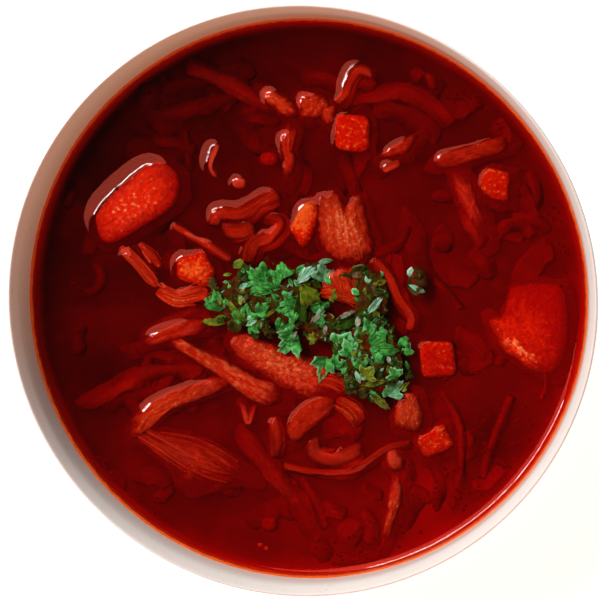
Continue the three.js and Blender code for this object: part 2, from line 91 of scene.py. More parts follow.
def bumps(seed):
    """The gentle relief that the solids have too."""
    rnd = seeded(seed * 977 + 11)
    waves = []
    for _ in range(4):
        way = np.array([rnd() - 0.5, rnd() - 0.5, rnd() - 0.5]) * 7
        waves.append((way, rnd() * 2 * math.pi))
    return lambda p: sum(np.sin(p @ way + phase) for way, phase in waves) / len(waves)


def hashed(cell, seed):
    x, y, z = (cell[..., k] for k in range(3))
    h = (x * 73856093) ^ (y * 19349663) ^ (z * 83492791) ^ (seed * 2654435761)
    h = h & 0xFFFFFFFF
    h = ((h ^ (h >> 13)) * 1274126177) & 0xFFFFFFFF
    h = ((h ^ (h >> 16)) * 2246822519) & 0xFFFFFFFF
    return (h & 0xFFFF) / 65535.0


def rough(p, seed=0, octaves=1):
    """Smooth random field in [-1, 1] over points (..., 3)."""
    total, size, weight = 0.0, 1.0, 0.0
    for k in range(octaves):
        q = np.asarray(p, float) * (2.03 ** k) + 17.3 * k
        cell = np.floor(q).astype(np.int64)
        f = q - cell
        f = f * f * (3 - 2 * f)
        value = 0.0
        for corner in itertools.product((0, 1), repeat=3):
            x, y, z = (f[..., n] if far else 1 - f[..., n] for n, far in enumerate(corner))
            value = value + x * y * z * hashed(cell + np.array(corner), seed + k)
        total = total + size * (value * 2 - 1)
        weight += size
        size *= 0.5
    return total / weight


def over(*parts):
    """Points of a grid, from coordinates that vary along one of its sides or along both."""
    return np.stack(np.broadcast_arrays(*parts), -1)


def turned(points, degrees, axis="Z"):
    return points @ np.array(Matrix.Rotation(math.radians(degrees), 3, axis)).T


def sides(rings, m):
    """Quads between rings of m points each."""
    i, j = np.meshgrid(np.arange(rings - 1), np.arange(m), indexing="ij")
    a, b = i * m + j, i * m + (j + 1) % m
    return np.stack([a, b, b + m, a + m], -1).reshape(-1, 4)


def with_ends(rings, m):
    """The same, and fans that close the first and the last ring with the two points that follow the rings."""
    n, j = rings * m, np.arange(m)
    after = (j + 1) % m
    start, end = np.full(m, n), np.full(m, n + 1)
    low = np.stack([start, after, j, start], 1)
    high = np.stack([end, n - m + j, n - m + after, end], 1)
    return np.concatenate([sides(rings, m), low, high])


def joined(parts):
    """One shape (points, quads, tones) of several."""
    points, quads, tones, base = [], [], [], 0
    for p, q, tone in parts:
        points.append(p)
        quads.append(q + base)
        tones.append(tone)
        base += len(p)
    return np.concatenate(points), np.concatenate(quads), np.concatenate(tones)


def normals_of(points, quads):
    a, b, c, d = (points[quads[:, k]] for k in range(4))
    face = np.cross(c - a, d - b)
    out = np.zeros_like(points)
    for k in range(4):
        np.add.at(out, quads[:, k], face)
    return out / np.maximum(np.linalg.norm(out, axis=1), 1e-12)[:, None]


def block(n):
    """Surface of a cube from -1 to 1 with n cells an edge, welded."""
    t = np.linspace(-1, 1, n + 1)
    a, b = np.meshgrid(t, t, indexing="ij")
    i, j = np.meshgrid(np.arange(n), np.arange(n), indexing="ij")
    first = (i * (n + 1) + j).ravel()
    cells = np.stack([first, first + n + 1, first + n + 2, first + 1], 1)
    points, quads = [], []
    for axis in range(3):
        for sign in (-1, 1):
            p = np.empty((n + 1, n + 1, 3))
            p[..., axis], p[..., (axis + 1) % 3], p[..., (axis + 2) % 3] = sign, a, b
            quads.append((cells if sign > 0 else cells[:, ::-1]) + len(points) * (n + 1) ** 2)
            points.append(p.reshape(-1, 3))
    points, quads = np.concatenate(points), np.concatenate(quads)
    unused, index, back = np.unique(np.round(points, 6), axis=0, return_index=True, return_inverse=True)
    return points[index], back.reshape(-1)[quads]


def lump(at, size, proud, turn=0, tilt=0, squareness=3, relief=0.05, seed=1, cell=0.5, fibrous=False,
         coarse=0.25, most=56, warm=0.1):
    """A block of food with its sides pulled towards a ball, as in the solid, then given its fine relief.

    proud is the height of its top over the broth; the ridges and tones of a fibrous one follow its length.
    """
    n = int(np.clip(max(size) / cell, 8, most))
    p, quads = block(n)
    reach = (np.abs(p) ** squareness).sum(1)
    p = p * (reach ** (-1 / squareness))[:, None]
    p = p * (1 + relief * bumps(seed)(p))[:, None]
    p = p * np.array(size) / 2
    if fibrous:
        q = p * [0.28, 1.5, 1.0]
        ridge = 1 - 2 * np.abs(rough(q, seed, 2)) + 0.35 * rough(p * 0.6, seed + 7, 2)
        tones = 0.5 + 0.5 * rough(q * [1, 1.3, 1.2], seed + 60, 2) + 0.25 * (ridge - 0.5)
    else:
        ridge = rough(p * 0.8, seed, 3)
        tones = 0.5 + 0.5 * rough(p * 1.1, seed + 60, 2)
    p = p + normals_of(p, quads) * (coarse * ridge)[:, None]
    p = turned(turned(p, tilt, "Y"), turn)
    p = p + np.array([at[0], at[1], proud - p[:, 2].max()])
    return p, quads, np.stack([tones * 0.8 + warm, tones * 0], 1)


def curve(path, n):
    """n points evenly along a smooth curve through the path, their tangents, and the curve's length."""
    p = np.array(path, float)
    p = np.vstack([2 * p[0] - p[1], p, 2 * p[-1] - p[-2]])
    dense = []
    for k in range(1, len(p) - 2):
        t = np.linspace(0, 1, 40, endpoint=k == len(p) - 3)[:, None]
        a, b, c, d = p[k - 1:k + 3]
        bend = (2 * a - 5 * b + 4 * c - d) * t ** 2 + (3 * b - a - 3 * c + d) * t ** 3
        dense.append(0.5 * (2 * b + (c - a) * t + bend))
    dense = np.vstack(dense)
    along = np.concatenate([[0], np.cumsum(np.linalg.norm(np.diff(dense, axis=0), axis=1))])
    s = np.linspace(0, along[-1], n)
    out = np.stack([np.interp(s, along, dense[:, k]) for k in range(3)], 1)
    tangent = np.gradient(out, axis=0)
    return out, tangent / np.linalg.norm(tangent, axis=1)[:, None], along[-1]


def swept(centre, tangent, across, upward, slant):
    """Rings round a path, each leaning along it by its slant, and the two points that close the ends."""
    side = np.cross(tangent, [0, 0, 1.0])
    side /= np.linalg.norm(side, axis=1)[:, None]
    lift = np.cross(side, tangent)
    p = centre[:, None] + side[:, None] * across[..., None] + lift[:, None] * upward[..., None] \
        + tangent[:, None] * (slant[:, None] * across)[..., None]
    return np.vstack([p.reshape(-1, 3), p[0].mean(0), p[-1].mean(0)])


def rounding(t, ends, length, width, bluntness):
    """Share of the full width along a strip: as the solid has it, with a short rounding at the cut ends."""
    swell = ends + (1 - ends) * np.clip(np.sin(np.pi * t), 0, 1) ** 0.3
    near = np.clip(np.minimum(t, 1 - t) * length / (bluntness * width), 0, 1)
    return swell * np.sqrt(np.clip(1 - (1 - near) ** 2, 0.0004, 1))


def strip(path, width, height, ends=0.6, seed=1, around=30, ridges=0.12, wave=0.2, roll=22, square=3.0,
          dip=0.25, hollow=0.16, bluntness=0.18, veiled=0.0, thin=0.0):
    """A cut shred: a flat, slightly hollow section with veins along it, which rolls and dips as it goes."""
    slants = np.random.default_rng(seed).uniform(-0.5, 0.5, 2)
    steps = int(np.clip(sum(math.dist(a, b) for a, b in zip(path, path[1:])) / 0.45, 12, 150))
    centre, tangent, length = curve(path, steps)
    t = np.linspace(0, 1, steps)
    run = t[:, None] * length
    angle = np.linspace(0, 2 * math.pi, around, endpoint=False)
    c, d = np.cos(angle), np.sin(angle)
    size = rounding(t, ends, length, width, bluntness)[:, None]
    grain = rough(over(run * 0.12, c * 2.4, d * 2.4), seed, 2)
    fine = rough(over(run * 0.5, c * 3, d * 3), seed + 3, 2)
    edge = rough(over(run * 0.28, c, angle * 0), seed + 5, 2)
    flat = (np.abs(c) ** square + np.abs(d) ** square) ** (-1 / square)
    reach = flat * (1 + ridges * grain + 0.09 * fine)
    across = c * reach * (width / 2) * size * (1 + wave * edge)
    aside = across / (width / 2)
    upward = d * np.abs(d) ** thin * reach * (height / 2) * size
    upward += hollow * width * (aside ** 2 - 0.35) * size
    along = np.stack([t * length * 0.12, t * 0, t * 0 + seed], 1)
    upward += dip * rough(along * 1.4, seed + 11)[:, None]
    way = np.radians(roll) * rough(along, seed + 9)[:, None] * 1.8
    tone = 0.5 + 0.5 * rough(over(run * 0.1, across * 1.8, upward * 0.6 + seed), seed + 13, 3)
    near_side = np.clip((np.abs(aside) - 0.25) / 0.7, 0, 1)
    near_end = np.clip(1 - np.minimum(t, 1 - t) * length / (0.9 * width), 0, 1)[:, None]
    tones = np.stack([tone, veiled * np.maximum(near_side ** 1.5, near_end ** 1.5)], -1)
    slant = slants[0] * np.clip(1 - t * 4, 0, 1) ** 2 + slants[1] * np.clip(t * 4 - 3, 0, 1) ** 2
    points = swept(centre, tangent, across * np.cos(way) - upward * np.sin(way),
                   across * np.sin(way) + upward * np.cos(way), slant)
    return points, with_ends(steps, around), np.vstack([tones.reshape(-1, 2), tones[0, 0], tones[-1, 0]])


def border(edge, step):
    """Points about step apart along the smooth closed curve through the points of the edge."""
    ring = np.vstack([edge[-1], edge, edge[0], edge[1]])
    outline, unused, length = curve(np.column_stack([ring, ring[:, 0] * 0]), 40 * (len(ring) - 1) + 1)
    first = int(np.argmin(np.hypot(*(outline[:80, :2] - edge[0]).T)))
    last = len(outline) - 80 + int(np.argmin(np.hypot(*(outline[-80:, :2] - edge[0]).T)))
    m = int(np.clip(length / step, 36, 190))
    return outline[first:last, :2][(np.arange(m) * (last - first) / m).astype(int)]


def slab(edge, proud, under=2.6, root=0.5, seed=1, grain=None, coarse=0.5, ragged=0.5, flat=3.0, brim=0.5,
         warm=0.0, shade=0.0, way=(-0.7, 0.7), glow=0.0, veiled=0.5, lean=0.6, melt=3.0, step=0.4):
    """A piece drawn by its outline, which lies root under the broth: a rough domed top over it, a keel below.

    brim above 1 thins the border out; shade paints it lighter towards way and darker away from it, painted
    light and shade; glow paints its middle lighter and its border darker, painted light; veiled melts its
    border; lean tips its lower right end under; grain is the direction of its fibres, in degrees.
    """
    outline = border(edge, step)
    m = len(outline)
    centre = outline.mean(0)
    out = outline - centre
    span = np.hypot(*out.T)
    noise = rough(np.column_stack([outline * 0.5, np.full(m, seed * 3.7)]), seed, 4)
    out = out * (1 + ragged * noise / span)[:, None]
    rings = int(np.clip(span.mean() / (0.75 * step), 10, 34))
    keel = np.linspace(0, math.pi / 2, 6)[1:-1]
    share = np.concatenate([np.sin(keel), 1 - np.linspace(0, 1, rings + 1)[:-1] ** 1.6])
    z = np.concatenate([-root - (under - root) * np.cos(keel),
                        -root + (proud + root) * (1 - share[len(keel):] ** flat) ** brim])
    level = centre + out[None] * share[:, None, None]
    p = np.dstack([level, np.broadcast_to(z[:, None], level.shape[:2])]).reshape(-1, 3)
    p = np.vstack([p, [*centre, -under], [*centre, proud]])
    if grain is None:
        q = p * [1.0, 1.0, 0.5]
        ridge = rough(q, seed, 4)
    else:
        q = turned(p, -grain) * [0.34, 1.0, 0.2]
        ridge = 0.5 - 1.1 * np.abs(rough(q, seed, 3)) + 0.9 * rough(p * [0.8, 0.8, 0.3], seed + 7, 4)
    off = p[:, :2] - centre
    spread = np.append(np.repeat(share, m), [0, 0])
    tones = 0.5 + 0.45 * rough(q * 1.3, seed + 60, 3) + 0.25 * ridge
    # Painted light and shade: lighter towards way and darker away from it, and lighter in the middle than at
    # the border.
    tones = tones + shade * (off @ way) / span.max() + glow * (0.45 - spread ** 2)
    lid = np.clip((p[:, 2] + root) / (proud + root), 0, 1)
    p[:, 2] += coarse * (ridge - 0.25) * np.sqrt(lid) - lean * (off @ [0.7, -0.7]) / span.max()
    return p, with_ends(len(share), m), np.stack([tones * 0.8 + 0.1 + warm, veiled * spread ** melt], 1)


def flaked(at, size, proud, turn, count, seed):
    """A piece of cooked meat coming apart: long flakes side by side, each a little off the next."""
    rnd = np.random.default_rng(seed)
    length, breadth, height = size
    way = math.radians(turn)
    parts = []
    for k in range(count):
        u = -1 + 2 * (k + 0.5) / count
        long = length * (1 - abs(u) ** 2.6) ** 0.5 * rnd.uniform(0.84, 1.04)
        along, aside = rnd.normal(0, 0.05) * length, u * breadth / 2 * 0.86
        x = at[0] + along * math.cos(way) - aside * math.sin(way)
        y = at[1] + along * math.sin(way) + aside * math.cos(way)
        drop = proud * 0.5 * u * u + rnd.uniform(0, 0.5)
        parts.append(lump([x, y], [long, breadth / count * rnd.uniform(1.7, 2.3), height], proud - drop,
                          turn + rnd.normal(0, 5), rnd.normal(0, 4), 2.4, 0.12, seed * 7 + k,
                          fibrous=True, coarse=0.35, most=40, warm=rnd.uniform(0.0, 0.2)))
    return joined(parts)


def fibres(path, half, height, seed=1, threads=None):
    """Parallel strands of cooked meat, to half a width on each side: a slack bundle over a soft core."""
    rnd = np.random.default_rng(seed)
    base = np.array(path, float)
    run = base[-1, :2] - base[0, :2]
    side = np.array([-run[1], run[0], 0]) / np.linalg.norm(run)
    threads = threads or max(5, int(half * 2 / 0.55))
    parts = [strip(base - [0, 0, 0.45], half * 1.6, height * 0.8, 0.5, seed, ridges=0.2, roll=8, square=2.2)]
    for k in range(threads):
        u = -1 + 2 * (k + 0.5) / threads + rnd.normal(0, 0.07)
        rise = math.sqrt(max(1 - u * u, 0.0)) * height * 0.42 - 0.35 + rnd.normal(0, 0.12)
        points = []
        for f, p in zip(np.linspace(0, 1, len(base)), base):
            offset = u * half * (0.75 + 0.5 * f)
            points.append(p + side * offset + [0, 0, rise] + rnd.normal(0, 0.32, 3) * [1, 1, 0.5])
        lo, hi = rnd.uniform(0, 0.22), rnd.uniform(0.76, 1.0)
        cut = curve(points, 40)[0][int(lo * 39):int(hi * 39) + 1:3]
        thick = 0.34 * rnd.uniform(0.7, 1.5) * 2
        p, quads, tones = strip(cut, thick, thick * 0.9, 0.35, seed * 31 + k, around=7, ridges=0.14, roll=0,
                                dip=0.1, hollow=0, square=2.0, bluntness=1.0)
        parts.append((p, quads, tones * [0.6, 1] + [rnd.uniform(0, 0.45), 0]))
    return joined(parts)


def mesh_object(name, shape, materials, replaces=(), index=None):
    """A piece of the scene; index picks one of the materials for each quad."""
    points, quads, tones = shape
    faces = [tuple(dict.fromkeys(int(v) for v in q)) for q in quads]
    mesh = bpy.data.meshes.new(name)
    mesh.from_pydata((points * MM).tolist(), [], faces)
    mesh.polygons.foreach_set("use_smooth", [True] * len(mesh.polygons))
    for material in materials:
        mesh.materials.append(material)
    if index is not None:
        mesh.polygons.foreach_set("material_index", index)
    for k, attribute in enumerate(("tone", "veil")):
        layer = mesh.attributes.new(attribute, "FLOAT", "POINT")
        layer.data.foreach_set("value", np.clip(tones[:, k], 0, 1).astype(np.float32))
    mesh.update()
    ob = bpy.data.objects.new(name, mesh)
    bpy.context.scene.collection.objects.link(ob)
    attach(ob, "root")
    if replaces:
        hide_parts(*replaces)
    return ob


# ---------------------------------------------------------------- materials

def srgb(r, g, b):
    def one(c):
        c = c / 255
        return c / 12.92 if c <= 0.04045 else ((c + 0.055) / 1.055) ** 2.4
    return (one(r), one(g), one(b), 1.0)


class Shader:
    """A material under construction."""

    def __init__(self, name):
        self.material = bpy.data.materials.new(name)
        self.material.use_nodes = True
        self.tree = self.material.node_tree
        self.tree.nodes.clear()
        self.output = self.node("OutputMaterial")
        self.place = self.node("TexCoord").outputs["Object"]

    def node(self, kind, inputs=None, **settings):
        made = self.tree.nodes.new("ShaderNode" + kind)
        for key, value in settings.items():
            setattr(made, key, value)
        for key, value in (inputs or {}).items():
            if isinstance(value, bpy.types.NodeSocket):
                self.tree.links.new(value, made.inputs[key])
            else:
                made.inputs[key].default_value = value
        return made


    def noise(self, scale, detail=3.0, roughness=0.55, distortion=0.0):
        return self.node("TexNoise", {
            "Vector": self.place, "Scale": scale, "Detail": detail, "Roughness": roughness,
            "Distortion": distortion,
        }).outputs["Fac"]

    def ramp(self, value, low, high, bottom=0.0, top=1.0, smooth=True):
        return self.node("MapRange", {
            "Value": value, "From Min": low, "From Max": high, "To Min": bottom, "To Max": top,
        }, interpolation_type="SMOOTHSTEP" if smooth else "LINEAR").outputs["Result"]

    def mix(self, share, first, second):
        return self.node("Mix", {0: share, 6: first, 7: second}, data_type="RGBA").outputs[2]

    def maths(self, operation, first, second):
        return self.node("Math", {0: first, 1: second}, operation=operation).outputs[0]

    def less(self, first, second):
        return self.maths("SUBTRACT", first, second)

    def times(self, first, second):
        return self.maths("MULTIPLY", first, second)

    def height(self):
        return self.node("SeparateXYZ", {"Vector": self.place}).outputs["Z"]

    def painted(self, name):
        return self.node("Attribute", attribute_name=name).outputs["Fac"]

    def across(self):
        """0 at the upper left of the bowl, 1 at the lower right, where the broth is brighter: painted shade
        to painted light.
        """
        split = self.node("SeparateXYZ", {"Vector": self.place}).outputs
        return self.ramp(self.less(split["X"], split["Y"]), -0.12, 0.12, smooth=False)

    def deep(self, colour):
        """Fades a colour into the broth's own with its depth, and where the veil is painted."""
        # The broth's colour here is painted darker at the upper left and brighter at the lower right: painted
        # shade and light.
        murk = self.mix(self.across(), srgb(76, 1, 0), srgb(178, 8, 2))
        rise = self.maths("MINIMUM", self.less(self.height(), (LEVEL + FILM) * MM), 0.0)
        dim = self.ramp(self.maths("DIVIDE", rise, MM), -MURK_DEPTH, 0.0, 1.0, 0.5, smooth=False)
        murk = self.mix(dim, srgb(0, 0, 0), murk)
        left = self.maths("EXPONENT", self.maths("DIVIDE", rise, FADE * MM), 0.0)
        return self.mix(self.times(left, self.less(1.0, self.painted("veil"))), murk, colour)

    def bump(self, value, distance, strength=1.0):
        made = self.node("Bump", {"Height": value, "Distance": distance, "Strength": strength})
        return made.outputs["Normal"]

    def surface(self, **inputs):
        """Inputs of the principled shader by their names in small letters."""
        names = {"colour": "Base Color", "roughness": "Roughness", "normal": "Normal", "ior": "IOR",
                 "specular": "Specular IOR Level", "coat": "Coat Weight", "coat_ior": "Coat IOR",
                 "coat_roughness": "Coat Roughness", "coat_normal": "Coat Normal"}
        made = self.node("BsdfPrincipled", {names[k]: v for k, v in inputs.items()})
        self.tree.links.new(made.outputs[0], self.output.inputs["Surface"])
        return made


def glaze():
    """White inside, with the broth's tide line on it and a warm tint near the broth, partly a thin stain and
    partly painted red bounce light; a little greyer below the lip outside, as painted shade.
    """
    s = Shader("glaze")
    z = s.height()
    inside = s.painted("tone")
    speck = s.ramp(s.noise(900, 2), 0.62, 0.75, 0.0, 0.35)
    tint = s.mix(s.noise(25, 2), srgb(226, 221, 214), srgb(238, 234, 228))
    clean = s.mix(speck, tint, srgb(190, 176, 160))
    # Warmer up to 8 mm over the broth: partly a thin stain, partly painted red bounce light from the broth.
    glow = s.times(inside, s.ramp(z, (LEVEL + 8) * MM, (LEVEL + 1.5) * MM, 0, 0.4))
    base = s.mix(glow, clean, srgb(188, 112, 84))
    line = s.less(z, s.times(s.less(s.noise(520, 4, 0.75), 0.5), 0.0026))
    stain = s.ramp(line, (LEVEL + WALL_CLIMB + 0.45) * MM, (LEVEL + WALL_CLIMB + 0.1) * MM)
    tide = s.mix(s.times(inside, stain), base, srgb(226, 78, 18))
    # The outside below the lip is painted greyer: painted shade.
    painted_shade_below_lip = s.times(s.less(1.0, inside), s.ramp(z, 59.4 * MM, 57 * MM, 0, 0.75))
    body = s.mix(s.noise(18, 3, 0.5), srgb(166, 160, 152), srgb(184, 178, 170))
    s.surface(colour=s.mix(painted_shade_below_lip, tide, body), roughness=0.16, ior=1.5, coat=0.3, coat_roughness=0.06,
              normal=s.bump(s.noise(160, 2), 0.00008, 0.5))
    return s.material


def foot_clay():
    s = Shader("unglazed_foot")
    base = s.mix(s.noise(420, 5, 0.7), srgb(196, 180, 160), srgb(222, 210, 194))
    s.surface(colour=base, roughness=0.8, normal=s.bump(s.noise(1500, 4, 0.7), 0.00015))
    return s.material


def clear_broth():
    """Red glass, which lets light fall through it on the food."""
    s = Shader("broth_clear")
    glass = s.node("BsdfPrincipled", {
        "Base Color": (1, 1, 1, 1), "Roughness": 0.02, "IOR": 1.5, "Transmission Weight": 1.0,
    })
    lit = s.node("BsdfTransparent", {"Color": (1, 1, 1, 1)})
    path = s.node("LightPath").outputs["Is Shadow Ray"]
    both = s.node("MixShader", {0: path, 1: glass.outputs[0], 2: lit.outputs[0]})
    s.tree.links.new(both.outputs[0], s.output.inputs["Surface"])
    volume = s.node("VolumeAbsorption", {"Color": (0.875, 0.125, 0.03, 1), "Density": 720.0})
    s.tree.links.new(volume.outputs[0], s.output.inputs["Volume"])
    return s.material


def murky_broth():
    """What the clear layer ends in: cloudy, darker and brighter in patches, orange where it thins out at the
    wall, with painted shade at the upper left and painted light at the lower right.
    """
    s = Shader("broth_murk")
    # share runs from painted shade at the upper left to painted light at the lower right.
    share = s.across()
    tone = s.painted("tone")
    dark = s.mix(share, srgb(56, 1, 0), srgb(168, 6, 2))
    light = s.mix(share, srgb(90, 3, 1), srgb(188, 12, 3))
    low = s.mix(s.ramp(s.noise(38, 4, 0.6, 0.6), 0.4, 0.62), dark, light)
    fine = s.ramp(s.noise(210, 3, 0.6), 0.45, 0.75, 0, 0.2)
    even = s.mix(fine, low, s.mix(share, srgb(112, 6, 2), srgb(200, 18, 6)))
    # Darker patches where the tone set from CLOUDS is low, brighter ones where it is high.
    thick = s.mix(s.ramp(tone, 0.5, 0.2, 0, 0.75), even, srgb(52, 1, 0))
    open_soup = s.mix(s.ramp(tone, 0.5, 0.9, 0, 0.75), thick, srgb(222, 10, 4))
    near_wall = s.ramp(s.height(), (LEVEL - MURK_DEPTH + 0.5) * MM, (LEVEL - MURK_DEPTH + 2.6) * MM)
    edge = s.mix(near_wall, open_soup, s.mix(share, srgb(176, 50, 16), srgb(186, 22, 4)))
    ragged = s.times(s.noise(700, 3, 0.7), 0.0016)
    line = s.ramp(s.less(s.height(), ragged), (LEVEL - 1.2) * MM, LEVEL * MM)
    s.surface(colour=s.mix(line, edge, srgb(222, 84, 22)), roughness=0.5, specular=0.0)
    return s.material


def thin_broth():
    s = Shader("broth_edge")
    base = s.mix(s.ramp(s.painted("tone"), 0.1, 0.8), srgb(128, 8, 1), srgb(222, 92, 26))
    colour = s.mix(s.ramp(s.noise(900, 3, 0.7), 0.4, 0.7, 0, 0.5), base, srgb(196, 54, 12))
    s.surface(colour=colour, roughness=0.35, specular=0.2)
    return s.material


def fat():
    s = Shader("broth_fat")
    # Darker at the upper left and brighter at the lower right: painted shade and light.
    dark = s.mix(s.across(), srgb(36, 1, 0), srgb(98, 2, 1))
    # The lighter rim of each drop: a painted highlight.
    rim = s.mix(s.noise(600, 2), srgb(110, 8, 3), srgb(156, 18, 6))
    colour = s.mix(s.ramp(s.painted("tone"), 0.3, 1.0, 0, 0.6), dark, rim)
    s.surface(colour=colour, roughness=0.5, specular=0.0)
    return s.material


def wet(s, colour, normal, coat):
    """A matt body with a rippled film of broth on it, as strong as its coat."""
    s.surface(colour=colour, roughness=0.5, specular=0.0, normal=normal, coat=coat, coat_roughness=0.07,
              coat_ior=1.45, coat_normal=s.bump(s.noise(760, 4, 0.6), 0.001))
    return s.material


def flesh(name, low, high, bright, share, bump, coat, cells=1000, from_tone=0.45):
    """Tones along the piece's own grain, fine bright dots painted as glints (a painted highlight) and a bumpy
    skin, all sinking into the broth.
    """
    s = Shader(name)
    mottle = s.maths("ADD", s.times(s.painted("tone"), 0.66), s.times(s.noise(640, 5, 0.8), 0.34))
    patch = s.mix(s.ramp(mottle, 0.2, 0.62, smooth=False), low, high)
    # Bright dots where the tone is light: painted glints.
    painted_glints = s.ramp(s.noise(cells, 4, 0.65), 0.55, 0.65, 0.0, share)
    fine = s.times(painted_glints, s.ramp(mottle, from_tone, 0.8))
    # The bright colour is the palest tone, partly painted light, and the colour of the painted glints.
    colour = s.mix(s.maths("MAXIMUM", fine, s.ramp(mottle, 0.66, 1.0, 0.0, 0.85)), patch, bright)
    return wet(s, s.deep(colour), s.bump(s.noise(1700, 4, 0.65), bump), coat)


def carrot_flesh(name, coat):
    return flesh(name, srgb(160, 3, 0), srgb(196, 20, 2), srgb(240, 116, 40), 0.8, 0.0004, coat, 820, 0.1)


def potato_flesh(name, coat, share=1.0):
    return flesh(name, srgb(166, 3, 0), srgb(216, 34, 3), srgb(255, 176, 100), share, 0.0006, coat, 760)


def meat(name, coat):
    return flesh(name, srgb(128, 3, 0), srgb(180, 42, 10), srgb(234, 132, 80), 0.8, 0.0005, coat)


def leaf_vegetable(name, coat, share=0.5):
    return flesh(name, srgb(112, 2, 0), srgb(166, 26, 5), srgb(220, 104, 54), share, 0.0004, coat)


def onion_flesh(name, coat):
    return flesh(name, srgb(140, 14, 6), srgb(184, 50, 26), srgb(226, 140, 106), 0.4, 0.0001, coat)


def herb(name, dark, light, edge, roughness=0.45):
    s = Shader(name)
    base = s.mix(s.ramp(s.noise(600, 3, 0.6), 0.35, 0.68), dark, light)
    # Where the tone is high the paler edge colour: towards the tips of some leaves a painted highlight, on
    # the underside its own paler green.
    s.surface(colour=s.mix(s.ramp(s.painted("tone"), 0.6, 1.0), base, edge), roughness=roughness,
              normal=s.bump(s.noise(1300, 3, 0.6), 0.0002), specular=0.35)
    return s.material


def herb_bed():
    s = Shader("parsley_wet_and_painted_shade")
    # Dark brown and olive: partly the wet bits' own colour, partly painted shade under the leaves.
    base = s.mix(s.ramp(s.noise(420, 4, 0.6), 0.38, 0.62), srgb(60, 18, 3), srgb(66, 44, 5))
    colour = s.mix(s.ramp(s.noise(260, 3, 0.6), 0.54, 0.66), base, srgb(116, 12, 3))
    return wet(s, colour, s.bump(s.noise(900, 4, 0.7), 0.0004), 0.25)


def studio_floor():
    s = Shader("floor")
    base = s.mix(s.noise(30, 3), srgb(232, 246, 246), srgb(238, 250, 250))
    made = s.surface(colour=base, roughness=0.7, specular=0.2)
    made.inputs["Emission Color"].default_value = (1, 1, 1, 1)
    made.inputs["Emission Strength"].default_value = 0.72
    return s.material


GLAZE, FOOT = glaze(), foot_clay()
CLEAR, MURK, EDGE, FAT = clear_broth(), murky_broth(), thin_broth(), fat()
CARROT, POTATO, BEEF = carrot_flesh("carrot", 0.15), potato_flesh("potato", 0.5), meat("beef", 0.35)
CABBAGE, ONION = leaf_vegetable("cabbage", 0.24), onion_flesh("onion", 0.3)
SUNK_CARROT_FLESH, SUNK_POTATO_FLESH = carrot_flesh("carrot_sunk", 0.0), potato_flesh("potato_sunk", 0.0, 0.2)
SUNK_MEAT_FLESH, SUNK_LEAF = meat("beef_sunk", 0.0), leaf_vegetable("cabbage_sunk", 0.0, 0.0)
HERBS = {
    "fresh": herb("parsley_fresh", srgb(22, 100, 34), srgb(70, 168, 70), srgb(140, 214, 156)),
    "pale": herb("parsley_pale", srgb(60, 130, 80), srgb(104, 164, 124), srgb(168, 206, 176)),
    "lime": herb("parsley_lime", srgb(62, 92, 6), srgb(112, 124, 14), srgb(160, 172, 76)),
    "olive": herb("parsley_olive", srgb(44, 36, 4), srgb(62, 58, 6), srgb(88, 84, 24), roughness=0.25),
    "dark": herb("parsley_dark", srgb(24, 40, 4), srgb(40, 74, 10), srgb(60, 96, 24), roughness=0.2),
    # Pale leaves laid where the parsley shines: a painted highlight.
    "painted_highlight": herb("parsley_painted_highlight", srgb(96, 160, 120), srgb(150, 200, 172), srgb(196, 226, 206)),
    "grey": herb("parsley_grey", srgb(110, 116, 96), srgb(160, 162, 140), srgb(196, 196, 176)),
}
BED = herb_bed()


# ---------------------------------------------------------------- bowl

def wall_curve(radius, top, floor, steps, start):
    """Radii and heights up the rounded wall of a bowl, from the angle start."""
    angle = np.linspace(start, math.pi / 2, steps + 1)
    r = radius * np.sin(angle) ** (2 / BELLY_ROUNDNESS)
    z = top - (top - floor) * np.clip(np.cos(angle), 0, 1) ** (2 / WALL_ROUNDNESS)
    return np.stack([r, z], 1)


def lathe(profile, turns):
    """Rings of points round the axis, from radii and heights."""
    profile = np.asarray(profile, float)[:, None]
    angle = np.linspace(0, 2 * math.pi, turns, endpoint=False)
    r, z = profile[..., 0], profile[..., 1]
    return over(r * np.cos(angle), r * np.sin(angle), z).reshape(-1, 3)


def capped(profile, turns, low, high):
    """The shape that such rings bound, closed on the axis at the heights low and high."""
    points = np.vstack([lathe(profile, turns), [0, 0, low], [0, 0, high]])
    return points, with_ends(len(profile), turns), np.zeros((len(points), 2))


def thickening(z):
    """The wall is a little thicker round the waterline, as the photo's ring of bare wall is wider."""
    return NARROWED * np.exp(-((z - WATERLINE) / 4) ** 2)


def off_centre(points):
    """The bowl is hand made: round the waterline its inside is a little off its outside."""
    inside = np.hypot(*points[:, :2].T) < LIP_INSIDE
    points[:, :2] += OFF_CENTRE * np.exp(-((points[:, 2:] - WATERLINE) / 4.5) ** 2) * inside[:, None]


